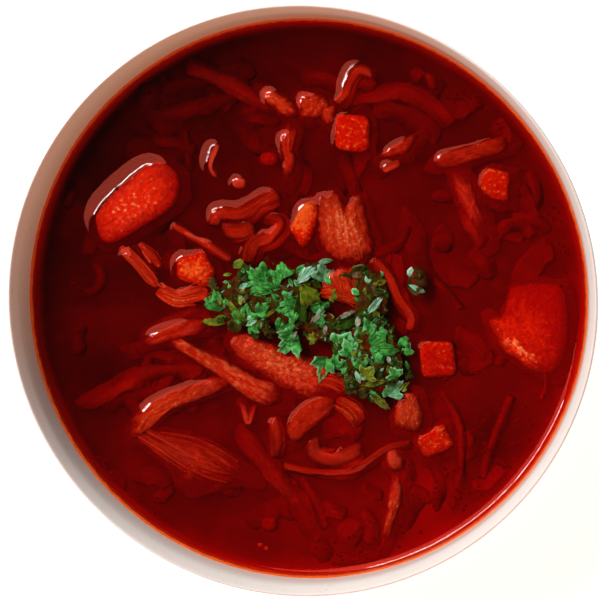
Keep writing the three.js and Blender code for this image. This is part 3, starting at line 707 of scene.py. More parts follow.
def bowl():
    """The profile runs from the middle of the foot outwards, up the outside, over the lip and down inside."""
    turns = 224
    inside = FOOT_RADIUS - FOOT_WIDTH
    foot = [(2.0, FOOT_RECESS), (20, FOOT_RECESS), (inside - 1.6, FOOT_RECESS),
            (inside - 1.0, FOOT_RECESS - 0.15), (inside - 0.4, 1.0), (inside - 0.1, 0.35),
            (inside + 0.4, 0.0), (FOOT_RADIUS - 1.4, 0.0), (FOOT_RADIUS - 0.5, 0.25),
            (FOOT_RADIUS - 0.05, 0.9)]
    start = math.asin((FOOT_RADIUS / RIM_RADIUS) ** (BELLY_ROUNDNESS / 2))
    outer = wall_curve(RIM_RADIUS, LIP_CENTRE, FLOOR_HEIGHT - FLOOR_THICKNESS, 44, start)
    outer = np.vstack([[FOOT_RADIUS - 0.02, 2.2], outer])
    lip = [(89.97, 59.1), (89.86, 59.6), (89.66, 59.9), (89.42, 60), (89.2, 59.88), (88.98, 59.5),
           (88.6, 58.7), (88.2, 57.8), (87.8, 56.9), (87.45, 55.95), (87.2, 55.0)]
    inner = wall_curve(INNER_RADIUS, LIP_CENTRE, FLOOR_HEIGHT, 56, 0.02)[::-1]
    inner = inner[inner[:, 1] < 54.4]
    inner[:, 0] -= thickening(inner[:, 1])
    points, quads, tones = capped(np.vstack([foot, outer, lip, inner]), turns, FOOT_RECESS, FLOOR_HEIGHT)
    first = (len(foot) + len(outer)) * turns
    off_centre(points[first:])
    # From the top of the lip on it is the inside, except the last point but one, under the foot's recess.
    tones[first + 4 * turns:, 0] = 1
    tones[-2, 0] = 0
    unglazed = slice(5 * turns, 8 * turns)
    index = np.zeros(len(quads), int)
    index[unglazed] = 1
    mesh_object("bowl_glazed", (points, quads, tones), [GLAZE, FOOT], ["bowl"], index)


def inner_radius(z):
    depth = (LIP_CENTRE - z) / (LIP_CENTRE - FLOOR_HEIGHT)
    return INNER_RADIUS * (1 - depth ** WALL_ROUNDNESS) ** (1 / BELLY_ROUNDNESS) - thickening(z)


# ---------------------------------------------------------------- floating food

FLOATING = []
FOOD = {"carrot": CARROT, "potato": POTATO, "beef": BEEF, "cabbage": CABBAGE, "onion": ONION}


def at_level(parts):
    """One shape of several, with heights counted from the bowl's foot."""
    points, quads, tones = joined(parts)
    return points + [0, 0, LEVEL], quads, tones


def float_piece(name, parts, material=None):
    """Replaces the solid of that name, which starts with the kind of food."""
    kind = name.split("_")[0]
    shape = at_level(parts)
    FLOATING.append(shape)
    mesh_object(name + "_piece", shape, [material or FOOD[kind]], [name]).visible_shadow = False


CARROTS = {
    "carrot_top": dict(at=[15.8, 51.4], size=[10.6, 11, 10], proud=1.9, turn=-3, squareness=5, warm=-0.02),
    "carrot_right_middle": dict(at=[41.9, -17.9], size=[10.8, 11, 9], proud=1.9, turn=4, squareness=5,
        warm=-0.16),
}
BEEF_MIDDLE = dict(at=[12.6, 4.9], size=[12.4, 11, 7], proud=2, turn=114, count=4, seed=40)
# Bundles of fibres: path, half its width, height and, where they aren't taken from the width, the threads.
BEEF_SHREDS = {
    "beef_fork": [
        dict(path=[[-52.2, -41.3, 0.3], [-47.6, -35.9, 0.8], [-40.1, -31.2, 0.9], [-32.6, -26.6, 0.6]],
             half=1.3, height=2.2, seed=61, threads=6),
        dict(path=[[-52, -41.5, -0.7], [-43.4, -46.9, -0.8], [-33.7, -52.4, -1.2], [-24.6, -56.3, -1.9]],
             half=3.1, height=1.6, seed=65, threads=8),
        dict(path=[[-49.5, -42.3, -1.0], [-36.2, -44.7, -1.2], [-26.1, -49.4, -1.4], [-19, -54.6, -1.9]],
             half=2.2, height=1.6, seed=71, threads=6),
        dict(path=[[-48.5, -44.7, -1.3], [-43.5, -50.7, -1.5], [-39.6, -56.4, -2.0]], half=1, height=1.6,
             seed=75, threads=4)],
    "beef_crook": [
        dict(path=[[-57, 16.5, -0.4], [-50.8, 10.5, -0.1], [-45, 3.9, -0.2]], half=1.9, height=2.2, seed=81),
        dict(path=[[-45.2, 3.3, -0.3], [-39.2, 0.5, 0], [-33, 1.8, -0.1], [-29.2, 2.4, -0.4]],
             half=3.2, height=2.6, seed=85)],
    "beef_fibre": [
        dict(path=[[-50.9, 17.5, -0.7], [-47.3, 13.9, -0.5], [-44.5, 9.9, -0.7]],
             half=1.5, height=2.2, seed=93)],
}
# Cut shreds: path, width and height.
STRIPS = {
    "cabbage_wavy": ([[-27.7, 23.1, -0.5], [-25.7, 26.7, -0.1], [-19, 27.1, -0.2], [-12.8, 30.5, 0.2],
        [-7.4, 33.3, -0.2]], 4, 2.4),
    "cabbage_wedge": ([[-24.9, 22.4, -0.4], [-19.3, 21.6, -0.1], [-14.7, 22.8, -0.4]], 4, 2.4),
    "cabbage_curl": ([[-11.7, 25.2, -0.5], [-6.7, 24.2, -0.2], [-9.3, 19.8, 0], [-14.9, 17.6, 0.1],
        [-17, 11.4, -0.1]], 4, 2.4),
    "cabbage_thread": ([[-40.4, 23.3, -0.4], [-33, 18.8, -0.2], [-26.8, 15.6, -0.1], [-22, 12.2, -0.4]],
        2.2, 1.8),
    "cabbage_rim": ([[21.9, 12.8, -0.3], [27, 7.3, 0], [30.1, 0.8, 0], [33.7, -4.7, 0], [33.1, -9.1, -0.4]],
        2.4, 2),
    "cabbage_arch": ([[10.8, 60.4, 0], [13.4, 63.3, -0.2], [15, 67.4, -0.2], [17.7, 70.3, -0.1],
        [22.2, 68.5, -0.3]], 2.6, 2),
    "cabbage_loop": ([[3.3, -42.9, 0], [4.3, -47.9, -0.1], [11.3, -49, -0.3], [18.3, -46.1, -0.6]],
        4.4, 2.6),
    "cabbage_thread_low": ([[-6.2, -51.7, -0.3], [4.2, -53.6, -1], [15.3, -52.8, -0.6], [25.3, -46.1, -0.3],
        [33.6, -43.6, -0.4]], 2, 1.7),
    "cabbage_short": ([[-9.7, -36.6, -0.4], [-8.4, -41, 0], [-9, -49.1, -0.6]], 3.2, 2),
}
# Slivers: path, width and how far they melt into the broth.
PETALS = {
    "onion_drop": ([[-25.8, 48.3, 0], [-27, 44.8, 0.4], [-27.6, 41.4, 0.3], [-26.6, 37.8, -0.4]], 2, 0.95),
    "onion_sliver": ([[24.9, 39.9, -0.5], [27.4, 41.3, 0.2], [30.4, 42.4, -0.5]], 2.4, 0.7),
    "onion_hook": ([[-19.4, -32.1, -1.5], [-17.6, -37.7, -0.9], [-16.8, -37.7, -0.9], [-15, -32.6, -1.5]],
        2, 0.95),
}
ONION_BIT = dict(at=[-19.2, 36.1], size=[4, 3, 2.6], proud=0.9, squareness=2.5, seed=140)


# Pieces drawn by their outlines: what slab() takes, and the points of the edge.
OUTLINES = {
    "beef_centre": dict(proud=2, root=1, grain=104, coarse=0.8, ragged=0.9, brim=0.8, warm=0.08, glow=0.8,
        veiled=0.45, lean=1.2, edge=[(5, 24.3), (5.5, 18.8), (7.1, 14.8), (10.7, 12.1), (15, 10.6),
        (20.3, 11.5), (22.4, 15.2), (21.5, 21), (20, 25.6), (19.1, 30.1), (17.6, 32.3), (15.7, 30.4),
        (13.6, 29.2), (12.1, 31.7), (10.2, 33.2), (7.8, 32.3), (5.6, 31.1)]),
    "carrot_centre": dict(proud=2, coarse=0.4, ragged=0.15, flat=4, warm=0.34, shade=1, glow=0.5,
        veiled=0.3, edge=[(-2.2, 19.7), (-0.6, 17.3), (0.9, 16.4), (2.8, 18.8), (4.3, 23.1), (5.3, 27.4),
        (4.1, 30.1), (2.2, 30.4), (0.1, 28.9), (-1.8, 25.9), (-3.4, 21.9)]),
    "carrot_left": dict(proud=1.7, coarse=0.6, ragged=0.45, flat=5, warm=0.3, glow=0.7, veiled=0.35,
        edge=[(-38.4, 6.6), (-33.6, 4.9), (-29.6, 3.9), (-26.9, 8.2), (-28.6, 12), (-30.4, 15.2),
        (-34, 14.1), (-37.6, 13.3), (-39.2, 10.6)]),
    "carrot_right_upper": dict(proud=1.1, coarse=0.25, ragged=0.12, flat=6, warm=-0.04, shade=0.3,
        veiled=0.35, edge=[(54.9, 34.7), (57, 32.2), (60, 30.7), (63, 31), (63.3, 34.3), (63.6, 38.6),
        (60.9, 39.8), (57.6, 40.4), (55.2, 38)]),
    "carrot_right_lower": dict(proud=1, coarse=0.4, ragged=0.25, flat=3.4, warm=0.06, glow=0.4, veiled=0.4,
        edge=[(36.4, -45.8), (38.5, -48.3), (44.4, -46.3), (46.8, -44.1), (45.3, -41.3), (43.4, -37.9),
        (39.5, -40.2), (35.8, -42.7)]),
    "potato_left": dict(proud=2.6, under=8, coarse=0.6, ragged=0.2, flat=4, brim=0.75, warm=-0.04,
        shade=0.2, glow=0.7, veiled=0.35, lean=1.9, edge=[(-62.7, 18.7), (-58.9, 17.8), (-52.6, 20.9),
        (-46.9, 24.3), (-41.8, 27.4), (-38.6, 31.1), (-38.2, 37.2), (-40.4, 40.9), (-44.1, 42.5),
        (-47.9, 41.6), (-53.6, 37.3), (-59.3, 32.3), (-63.5, 27.4), (-64.5, 24.3)]),
    "potato_right": dict(proud=0.1, under=8, coarse=0.1, ragged=0.3, flat=6, brim=0.8, warm=-0.34,
        shade=0.7, way=(-0.85, -0.5), glow=0.4, veiled=0.4, lean=0.2, edge=[(61, -4.9), (58, -5.5),
        (57.7, -7), (61, -12.2), (65, -15.9), (70.4, -19.5), (75.6, -21.6), (79.5, -17.6), (80.9, -10.8),
        (80.9, -2.3), (79.6, 3.8), (75.7, 5.6), (69.7, 5.5), (64.3, 4), (62.8, 0)]),
    "potato_right_edge": dict(proud=0.1, under=3, root=0.8, coarse=0.3, ragged=1.4, brim=0.9, warm=0.24,
        glow=0.4, veiled=0.9, lean=0.2, edge=[(59.5, -11), (61, -14.6), (64.1, -17.1), (68.6, -20.1),
        (72.9, -21.9), (76.5, -21.8), (75.6, -18.8), (71.9, -15.2), (68.6, -12.4), (65.9, -9.4),
        (63.1, -6.7), (59.8, -4.6), (57.1, -6.1)]),
    "beef_small": dict(proud=1.3, grain=80, brim=0.9, warm=0.1, glow=0.4, veiled=0.45, edge=[(29, -38.4),
        (31.8, -39.9), (35.5, -40.5), (37.3, -37.1), (36.7, -32.7), (35.2, -29), (32.4, -28.5),
        (29.9, -31.6), (28.4, -35.3)]),
    "beef_mound": dict(proud=1.2, coarse=1.1, ragged=1.3, brim=1.2, warm=0.22, glow=0.5,
        edge=[(-21.5, -15.4), (-18.4, -18.5), (-13.7, -22.1), (-8.4, -26.1), (-3.1, -28.3), (1.8, -30.1),
        (7.1, -29.1), (11.2, -25.9), (10.6, -21.9), (5, -18.8), (-1.2, -16.7), (-6.8, -15.2),
        (-12.4, -12.8), (-17.7, -10.7), (-21.8, -11.6)]),
    "fork_arm": dict(proud=1.9, root=1.4, grain=25, coarse=0.8, ragged=0.6, brim=0.9, warm=-0.1, glow=0.3,
        lean=0.9, edge=[(-53.5, -44.1), (-50.9, -42.8), (-48, -39.5), (-42.8, -35.7), (-36.5, -32.8),
        (-29.5, -30.2), (-23.8, -27.6), (-21.3, -24.7), (-25, -23.5), (-29.4, -24.2), (-34.5, -26.5),
        (-40.2, -28.1), (-46.3, -30.7), (-51.1, -34.2), (-54, -38.1), (-54.7, -42.2)]),
    "fork_fan": dict(proud=-0.35, root=2.4, grain=-22, coarse=0.35, ragged=1, brim=1.4, warm=-0.16,
        glow=0.2, veiled=1, edge=[(-52.8, -45.2), (-49.6, -47.1), (-45.8, -49.9), (-42, -53.6),
        (-38.9, -58), (-36.7, -60.2), (-32.6, -59.1), (-28.1, -58.4), (-23.7, -57.1), (-19.3, -57.9),
        (-16.4, -57.6), (-16.7, -54.4), (-21.1, -50.4), (-26.7, -47), (-32.4, -43.9), (-38.1, -41.8),
        (-43.5, -41.3), (-48.9, -41.7), (-53.7, -43.3)]),
    "beef_flake": dict(proud=0.9, root=1.8, grain=-35, coarse=0.8, ragged=0.7, brim=1.2, warm=-0.02,
        glow=0.2, edge=[(-11.5, 61.2), (-8.8, 59.1), (-5.7, 56.3), (-2.6, 55.4), (-0.2, 56.6), (-1.4, 59.7),
        (-3.8, 62.4), (-6.9, 63.6), (-10, 65.2), (-12.7, 64.6)]),
    "beef_crumb": dict(proud=1.2, root=1.6, coarse=1.3, ragged=1, brim=1.1, warm=-0.02, veiled=0.4,
        edge=[(-1.4, 59.1), (-0.2, 56), (2.9, 55.4), (6, 56), (9, 57.2), (10, 59.6), (7.8, 62), (4.8, 63.6),
        (1.1, 63.9), (-1.3, 62.4)]),
    "beef_crumb_low": dict(proud=1.1, root=1.6, coarse=1, ragged=0.7, brim=1.1, warm=-0.02, veiled=0.4,
        edge=[(6.6, 54.8), (9, 53.2), (10.9, 56), (10.3, 59.6), (6.6, 59)]),
    "cabbage_upright": dict(proud=1, root=1.8, grain=90, coarse=0.9, ragged=0.8, brim=1.2, warm=0.05,
        edge=[(-6.7, 49.3), (-6.1, 46.3), (-5.5, 42.6), (-5.9, 38.4), (-4, 37.1), (-2.1, 39.6),
        (-1.5, 43.2), (-2.1, 46.3), (-1.2, 49.3), (-1.4, 53), (-4.2, 53.9), (-6.1, 52.4)]),
    "cabbage_corner": dict(proud=0.8, root=1.6, grain=30, flat=5, brim=1.1, warm=-0.1, veiled=0.6,
        edge=[(25.2, 43.5), (27.9, 44.1), (31.6, 44.4), (33.7, 46.8), (35.5, 49.8), (34.3, 51), (31, 49.2),
        (27.3, 47.1), (24.2, 44.7)]),
    "cabbage_thick": dict(proud=1.3, root=1.4, grain=15, ragged=0.4, flat=6, brim=0.9, warm=-0.1,
        edge=[(41.9, 41), (44.9, 40.7), (49.1, 41.6), (53.9, 43.1), (59, 44.6), (62.3, 46.1), (62.9, 48.5),
        (61.4, 50), (58.1, 49.4), (53, 47.9), (47, 46.4), (42.5, 44.9), (40.4, 42.8)]),
    "cabbage_pale": dict(proud=0.1, root=2.4, grain=-62, ragged=0.9, brim=1.5, glow=0.3, veiled=0.9,
        edge=[(45.2, 37.1), (46.4, 32.8), (48.2, 28.6), (50.3, 24.3), (52.2, 20.4), (54.6, 18),
        (57.3, 18.9), (57.9, 23.1), (56.4, 27.4), (54.5, 31.6), (52.7, 36.4), (50.3, 39.5), (47.3, 41.3),
        (44.9, 40.7)]),
    "onion_pale": dict(proud=0.9, root=1.4, coarse=0.4, ragged=0.35, brim=1, edge=[(25.9, -49.8),
        (26.8, -51.9), (29, -53.2), (31.4, -52.2), (31.4, -49.1), (29.9, -46.9), (28.7, -45.7), (26.8, -46),
        (25.9, -47.6)]),
    "cabbage_pale_low": dict(proud=0.5, root=2, grain=70, brim=1.4, warm=0.3, veiled=0.8,
        edge=[(26.4, -59.9), (25.8, -64.9), (24.9, -69.9), (24.2, -74.7), (26.4, -75.3), (28.3, -70.5),
        (30.5, -65.4), (31.7, -60.7), (31.4, -56), (29.9, -53.2), (27.7, -54.8)]),
    "cabbage_fold": dict(proud=2.2, root=1.2, grain=38, ragged=0.35, flat=5, brim=0.6, warm=-0.02,
        veiled=0.3, edge=[(-3.9, -43.6), (-1.1, -43.6), (2.4, -40.4), (6.1, -37.2), (9.5, -34.4),
        (10.2, -31.2), (7.7, -29.7), (4, -30.4), (0.2, -32.9), (-3.2, -36.4), (-5.1, -40.2)]),
    "cabbage_flat": dict(proud=0.8, root=1.6, grain=-30, ragged=0.6, flat=7, brim=1, warm=0.3,
        edge=[(-40.4, -14.7), (-37.3, -16.8), (-32.6, -19.9), (-27.9, -23), (-23.2, -26.4), (-18.6, -29.8),
        (-14.5, -32.5), (-10.8, -33.4), (-7.3, -32.1), (-6.6, -28.4), (-8.2, -25.9), (-12.6, -25),
        (-16.9, -22.6), (-21.9, -19.8), (-27.2, -17.1), (-31.9, -15.5), (-35.7, -13.4), (-38.8, -11.8),
        (-41.4, -12.5)]),
    "cabbage_left": dict(proud=0.9, root=1.6, grain=20, ragged=0.4, flat=6, brim=1.1, veiled=0.7,
        edge=[(-49.3, -14.8), (-46.2, -14.4), (-41.4, -13.1), (-37, -11.8), (-32.5, -10.9), (-30, -8.7),
        (-30.3, -6.2), (-33.4, -5.6), (-38.2, -6.5), (-42.9, -8.8), (-47.1, -10.7), (-50.3, -12.9)]),
}


def drawn(*names):
    return [slab(**OUTLINES[name], seed=200 + list(OUTLINES).index(name)) for name in names]


def make_floating():
    for i, (name, shape) in enumerate(CARROTS.items()):
        float_piece(name, [lump(**shape, seed=20 + i, coarse=0.16)])
    for name in ("carrot_centre", "carrot_left", "carrot_right_upper", "carrot_right_lower", "potato_left"):
        float_piece(name, drawn(name))
    float_piece("potato_right", drawn("potato_right", "potato_right_edge"), SUNK_POTATO_FLESH)
    float_piece("beef_middle", [flaked(**BEEF_MIDDLE)])
    for name in ("beef_centre", "beef_mound", "beef_small", "beef_flake"):
        float_piece(name, drawn(name))
    float_piece("beef_crumb", drawn("beef_crumb", "beef_crumb_low"))
    for name, arms in BEEF_SHREDS.items():
        leaves = drawn("fork_arm", "fork_fan") if name == "beef_fork" else []
        float_piece(name, [fibres(**arm) for arm in arms] + leaves)
    for i, (name, (path, width, height)) in enumerate(STRIPS.items()):
        float_piece(name, [strip(path, width * 1.12, height, seed=100 + i, veiled=0.75, thin=0.5, wave=0.3)])
    for name in [key for key in OUTLINES if key.startswith("cabbage")]:
        float_piece(name, drawn(name))
    float_piece("onion_pale", drawn("onion_pale"))
    for i, (name, (path, width, veiled)) in enumerate(PETALS.items()):
        float_piece(name, [strip(path, width, 1.8, ends=0.3, seed=130 + i, veiled=veiled)])
    float_piece("onion_bit", [lump(**ONION_BIT)])


# ---------------------------------------------------------------- sunk food

# Strips that lie wholly in the broth: path, width and height.
SUNK_STRIPS = [
    ([(-35.7, 72.7, -1.8), (-26.6, 69, -1.4), (-17.3, 64, -1.3), (-6, 57.9, -1.6)], 6.4, 2.4),
    ([(-47.4, 56.8, -3), (-37.9, 58, -2.6), (-27.8, 60.4, -2.4), (-19.2, 62.2, -3)], 5, 2.2),
    ([(-44.2, 64.2, -3.2), (-34.8, 66.6, -3), (-23.9, 67.1, -3.4)], 5, 2),
    ([(-36.2, 52.5, -3), (-35.6, 46.3, -2.8), (-35.2, 39.5, -3.4)], 2.6, 1.6),
    ([(-16.7, 53, -2.6), (-15.5, 48.7, -2.8), (-13.1, 44.7, -3)], 5.4, 1.8),
    ([(-0.4, 67.5, -2.2), (7.3, 67.5, -1.6), (13.4, 64.4, -1.8)], 6, 2.2),
    ([(15.6, 62, -1), (24.2, 63.1, -1.1), (31.5, 63.7, -1), (39.3, 59.4, -1.3), (46, 53.3, -1.2)],
        5.6, 1.6),
    ([(21.6, 58.3, -1.8), (28.9, 57.6, -2), (35.6, 54.6, -2.2), (42.3, 49.1, -2.6)], 6, 1.8),
    ([(15, 66.2, -0.9), (18.7, 66.8, -0.8), (22.3, 64.3, -1.2)], 4.6, 1.6),
    ([(38.1, 69.6, -0.9), (39.4, 67.2, -0.6), (40.5, 64.2, -1.2)], 2.6, 1.6),
    ([(49.1, 29.4, -1), (52.7, 23.4, -1), (56.3, 17.2, -1.4)], 6.4, 2.2),
    ([(51.4, 15.6, -2.6), (56.3, 12, -2.4), (57.5, 6.4, -3)], 5, 1.8),
    ([(69.5, 39.9, -2.8), (71.9, 32.4, -2.6), (70.2, 27.2, -3.2)], 3.6, 1.8),
    ([(64.1, 26.3, -2.4), (71.1, 24.8, -2.2), (75.6, 21.1, -3)], 3.4, 1.8),
    ([(30, 27.8, -3.2), (36.2, 15.5, -3), (39.2, 3.2, -3.4)], 7, 2),
    ([(-0.7, 43.1, -3), (1.2, 37, -2.6), (-0.8, 32.1, -3)], 4.4, 1.8),
    ([(-71.7, -34.7, -2.4), (-61.2, -28.7, -1.6), (-48.2, -23.5, -1.1), (-30.7, -22, -0.9)], 6, 2),
    ([(-64.8, -34.1, -3), (-53.4, -30.7, -2.6), (-45.3, -25.5, -2.4)], 5.4, 2),
    ([(-58.2, -16.9, -3.4), (-48.4, -16.1, -2.8), (-38.8, -18.5, -2.4), (-32.5, -20.9, -2)], 5.4, 2),
    ([(-51.3, -12.8, -1.6), (-44.8, -9.6, -0.9), (-36.8, -5.7, -0.7), (-28.9, -3.8, -1)], 6.6, 1.8),
    ([(-21.2, -40.2, -1.6), (-13, -49.5, -1.2), (-3.7, -60.7, -1.4), (2.4, -72.1, -2), (7.3, -82.4, -3)],
        6.4, 2.4),
    ([(-1.1, -55.6, -1.2), (4.5, -64, -1.4), (6.8, -72, -2)], 3.2, 1.8),
    ([(-16.8, -39.2, -1.6), (-17.9, -34.4, -1.2), (-20.4, -30.7, -1.2)], 4, 1.8),
    ([(-61.9, -54.5, -3), (-59.3, -58.2, -2.8), (-58.9, -64.1, -3.4)], 4.4, 1.8),
    ([(12.8, -68.7, -1.8), (15.1, -72.9, -1.2), (18.1, -74.9, -1.8)], 6.6, 2),
    ([(8, -81.6, -2.4), (15.9, -82, -2.2), (25.2, -79.7, -2.6)], 4.4, 1.8),
    ([(42.4, -28.1, -2), (47.3, -35.1, -1.4), (49.2, -42.8, -1.3), (48.6, -53.8, -1.5), (46.1, -65, -2.4)],
        2.8, 1.8),
    ([(64.4, -28.9, -2.6), (60.8, -38.1, -2), (57.7, -46, -2.2), (55.9, -55.5, -3)], 3, 1.8),
    ([(31.5, -54.2, -2.2), (32.4, -62.1, -2.4), (31.8, -71.7, -3)], 3.4, 1.8),
    ([(39.3, -47.9, -2.4), (42.3, -55.7, -2.6), (41.1, -65.2, -3.2)], 4, 1.8),
    ([(46.9, -8.9, -2.4), (54.6, -15, -2), (51.5, -22.8, -2.6)], 4.4, 1.8),
    ([(74.4, -21.4, -0.8), (74.7, -26.3, -0.6), (72.9, -30.7, -0.9)], 1.4, 1),
    ([(5.8, -39.8, -1.4), (13, -38.4, -1.2), (18.3, -42.1, -1.6)], 7, 1.8),
    ([(-40.9, -0.2, -1.4), (-37, -4, -1.8), (-39.4, -7.2, -2.6)], 4.4, 1.8),
    ([(-12.8, -14, -1.5), (-19.6, -16.3, -1.2), (-12.9, -22.5, -1.6)], 5, 2),
    ([(19.1, -65.3, -1.4), (21.3, -70.9, -1.2), (20, -76.5, -2)], 4.4, 1.8),
]
SUNK_MEAT = [
    dict(path=[(-40.6, -49.0, -1.4), (-31.1, -53.6, -1.2), (-21.4, -56.0, -1.6)], half=2.5, height=2),
    dict(path=[(-35.8, -44.2, -1.6), (-27.9, -47.9, -1.4), (-20.1, -53.5, -1.6)], half=2.5, height=2),
    dict(path=[(10.0, -30.9, -1), (15.3, -33.9, -0.8), (18.3, -38.6, -1.4)], half=3, height=2.4),
    dict(path=[(-0.9, -24.8, -1.2), (8.5, -24.0, -0.9), (14.6, -27.7, -1.2)], half=3, height=2.4),
    dict(path=[(5.6, 3.4, 0.2), (13.4, 2.8, 0.2), (18.6, 0.3, 0)], half=3.2, height=2.4),
]
SUNK_CARROT = [
    dict(at=[-10.2, 43.6], size=[5.6, 4.4, 2.4], proud=-0.7, squareness=2.6),
    dict(at=[-11.0, -70.6], size=[5.2, 4.6, 2.4], proud=-1.6, squareness=2.6),
    dict(at=[-13.7, -77.1], size=[1.8, 1.5, 1.2], proud=-0.2, squareness=2.3),
    dict(at=[-11.9, -78.0], size=[1.6, 1.5, 1.2], proud=-0.2, squareness=2.3),
]


def drifting(count):
    """Fainter shreds deeper down, strewn over the whole bowl."""
    rnd = np.random.default_rng(7)
    parts = []
    for k in range(count):
        radius, angle, way = 78 * math.sqrt(rnd.random()), rnd.uniform(0, 6.283), rnd.uniform(0, 6.283)
        length, bend, depth = rnd.uniform(9, 26), rnd.normal(0, 0.5), rnd.uniform(-4.4, -3.0)
        x, y = radius * math.cos(angle), radius * math.sin(angle)
        path = []
        for i in range(4):
            a = way + bend * (i - 1.5) * 0.6
            x, y = x + math.cos(a) * length / 4, y + math.sin(a) * length / 4
            pull = min(1.0, DRIFT_RADIUS / math.hypot(x, y))
            path.append((x * pull, y * pull, depth + rnd.normal(0, 0.3)))
        parts.append(strip(path, rnd.uniform(3, 8), 2.4, seed=500 + k, around=11, square=2.0, veiled=1.0,
                           thin=1.6))
    return parts


def sheet(path, width, height, seed, shift, **form):
    """A strip with thin, melting sides, a little away from the path given."""
    return strip(np.array(path) + shift, width, height, seed=seed, square=2.0, thin=1.6, **form)


def skirt(edge, seed):
    """What goes on under a drawn piece: wider than it, and a little to its lower right."""
    edge = np.array(edge)
    middle = edge.mean(0)
    wider = 1 + 2.6 / np.hypot(*(edge - middle).T).mean()
    return slab((edge - middle) * wider + middle + [0.8, -0.8], -1.0, under=3.4, root=2.2, seed=seed,
                ragged=1.4, flat=2.0, brim=1.0, warm=-0.12, veiled=1.0, melt=1.3, lean=0.9, step=1.2)


def make_sunk():
    """Food that lies wholly in the broth. It casts no shadow, as the broth over it is thick."""
    strips = [sheet(path, width * 1.12, height * 1.5, 300 + i, (0, 0, -1.15), around=20, veiled=0.9)
              for i, (path, width, height) in enumerate(SUNK_STRIPS)]
    skirts = [skirt(row["edge"], 700 + i) for i, row in enumerate(OUTLINES.values())]
    sheets = [sheet(path, width * 1.9, height * 1.1, 350 + i, (0.7, -0.7, -1.5), around=16, veiled=1.0,
                    dip=0.5) for i, (path, width, height) in enumerate(STRIPS.values())]
    meats = [fibres(**spec, seed=400 + i) for i, spec in enumerate(SUNK_MEAT)]
    cubes = [lump(**spec, seed=450 + i, cell=0.3) for i, spec in enumerate(SUNK_CARROT)]
    for name, parts, material, kind in (
            ("sunk_cabbage", strips, SUNK_LEAF, "cabbage"), ("sunk_skirts", skirts, SUNK_LEAF, "cabbage"),
            ("sunk_sheets", sheets, SUNK_LEAF, "cabbage"), ("sunk_beef", meats, SUNK_MEAT_FLESH, "beef"),
            ("sunk_carrot", cubes, SUNK_CARROT_FLESH, "carrot"),
            ("drifting_shreds", drifting(90), SUNK_LEAF, "cabbage")):
        mesh_object(name, at_level(parts), [material]).visible_shadow = False


# ---------------------------------------------------------------- broth

def tree_of(shapes):
    points, quads, unused = joined(shapes)
    faces = [tuple(dict.fromkeys(map(int, q))) for q in quads]
    return BVHTree.FromPolygons([Vector(p) for p in points], faces)


def tops(tree, xs, ys):
    """Height over the broth's level of the highest food at each place, or NOWHERE."""
    out = np.full(xs.shape, NOWHERE)
    down = Vector((0, 0, -1))
    for k, (x, y) in enumerate(zip(xs.ravel(), ys.ravel())):
        hit = tree.ray_cast(Vector((x, y, LEVEL + LOOKOUT)), down, LOOKOUT + 6)[0]
        if hit is not None:
            out.flat[k] = hit.z - LEVEL
    return out


def widened(field, cells):
    """Each value becomes the highest within so many cells."""
    for _ in range(cells):
        for axis in (0, 1):
            field = np.maximum(field, np.maximum(np.roll(field, 1, axis), np.roll(field, -1, axis)))
    return field


def blurred(field, rounds):
    for _ in range(rounds):
        for axis in (0, 1):
            field = 0.25 * np.roll(field, 1, axis) + 0.5 * field + 0.25 * np.roll(field, -1, axis)
    return field


def surface_heights(tree):
    """The broth's skin: level far from things, climbing the wall and the food, lying over what it wets."""
    n = int(SKIN_WIDTH / GRID) + 1
    line = (np.arange(n) - (n - 1) / 2) * GRID
    xs, ys = np.meshgrid(line, line, indexing="ij")
    radius = np.hypot(xs - OFF_CENTRE[0], ys - OFF_CENTRE[1])
    food = tops(tree, xs, ys)
    low = np.where((food > WETTED) & (food < TALL), food + FILM, NOWHERE)
    tall = np.where(food >= TALL, np.minimum(food * 0.85, CLIMB), -1.0)
    draped = blurred(widened(tall, 1), 2)
    cover = np.maximum(low, np.where(draped > -0.6, draped, NOWHERE))
    wall = radius > inner_radius(LEVEL) - 0.1
    climb = WALL_CLIMB * np.exp((radius - inner_radius(LEVEL)) / WAVE)
    h = np.zeros_like(xs)
    spring = 4 + (GRID / WAVE) ** 2
    for _ in range(SETTLING_ROUNDS):
        around = np.zeros_like(h)
        around[1:-1, 1:-1] = h[2:, 1:-1] + h[:-2, 1:-1] + h[1:-1, 2:] + h[1:-1, :-2]
        h = np.maximum(around / spring, cover)
        h[wall] = climb[wall]
    return xs, ys, radius, h


def broth_shape(xs, ys, radius, h):
    """The clear layer: the skin's cells inside the wall, sides down from their border, and a flat bottom."""
    keep = radius <= SKIN_RADIUS
    corner = keep[:-1, :-1] & keep[1:, :-1] & keep[1:, 1:] & keep[:-1, 1:]
    i, j = np.nonzero(corner)
    n = xs.shape[1]
    quads = np.stack([i * n + j, (i + 1) * n + j, (i + 1) * n + j + 1, i * n + j + 1], 1)
    used = np.unique(quads)
    new = np.full(xs.size, -1)
    new[used] = np.arange(len(used))
    points = np.stack([xs.ravel()[used], ys.ravel()[used], LEVEL + h.ravel()[used]], 1)
    quads = new[quads]
    edges = np.concatenate([quads[:, [k, (k + 1) % 4]] for k in range(4)])
    key = edges[:, 0] * len(points) + edges[:, 1]
    a, b = edges[~np.isin(key, edges[:, 1] * len(points) + edges[:, 0])].T
    rim = np.unique(a)
    low = points[rim]
    low[:, 2] = LEVEL - CLEAR_DEPTH
    below = np.full(len(points), -1)
    below[rim] = len(points) + np.arange(len(rim))
    middle = np.full(len(a), len(points) + len(rim))
    points = np.vstack([points, low, [0, 0, LEVEL - CLEAR_DEPTH]])
    skirt_quads = np.stack([b, a, below[a], below[b]], 1)
    bottom = np.stack([below[b], below[a], middle, below[b]], 1)
    return points, np.concatenate([quads, skirt_quads, bottom]), np.zeros((len(points), 2))


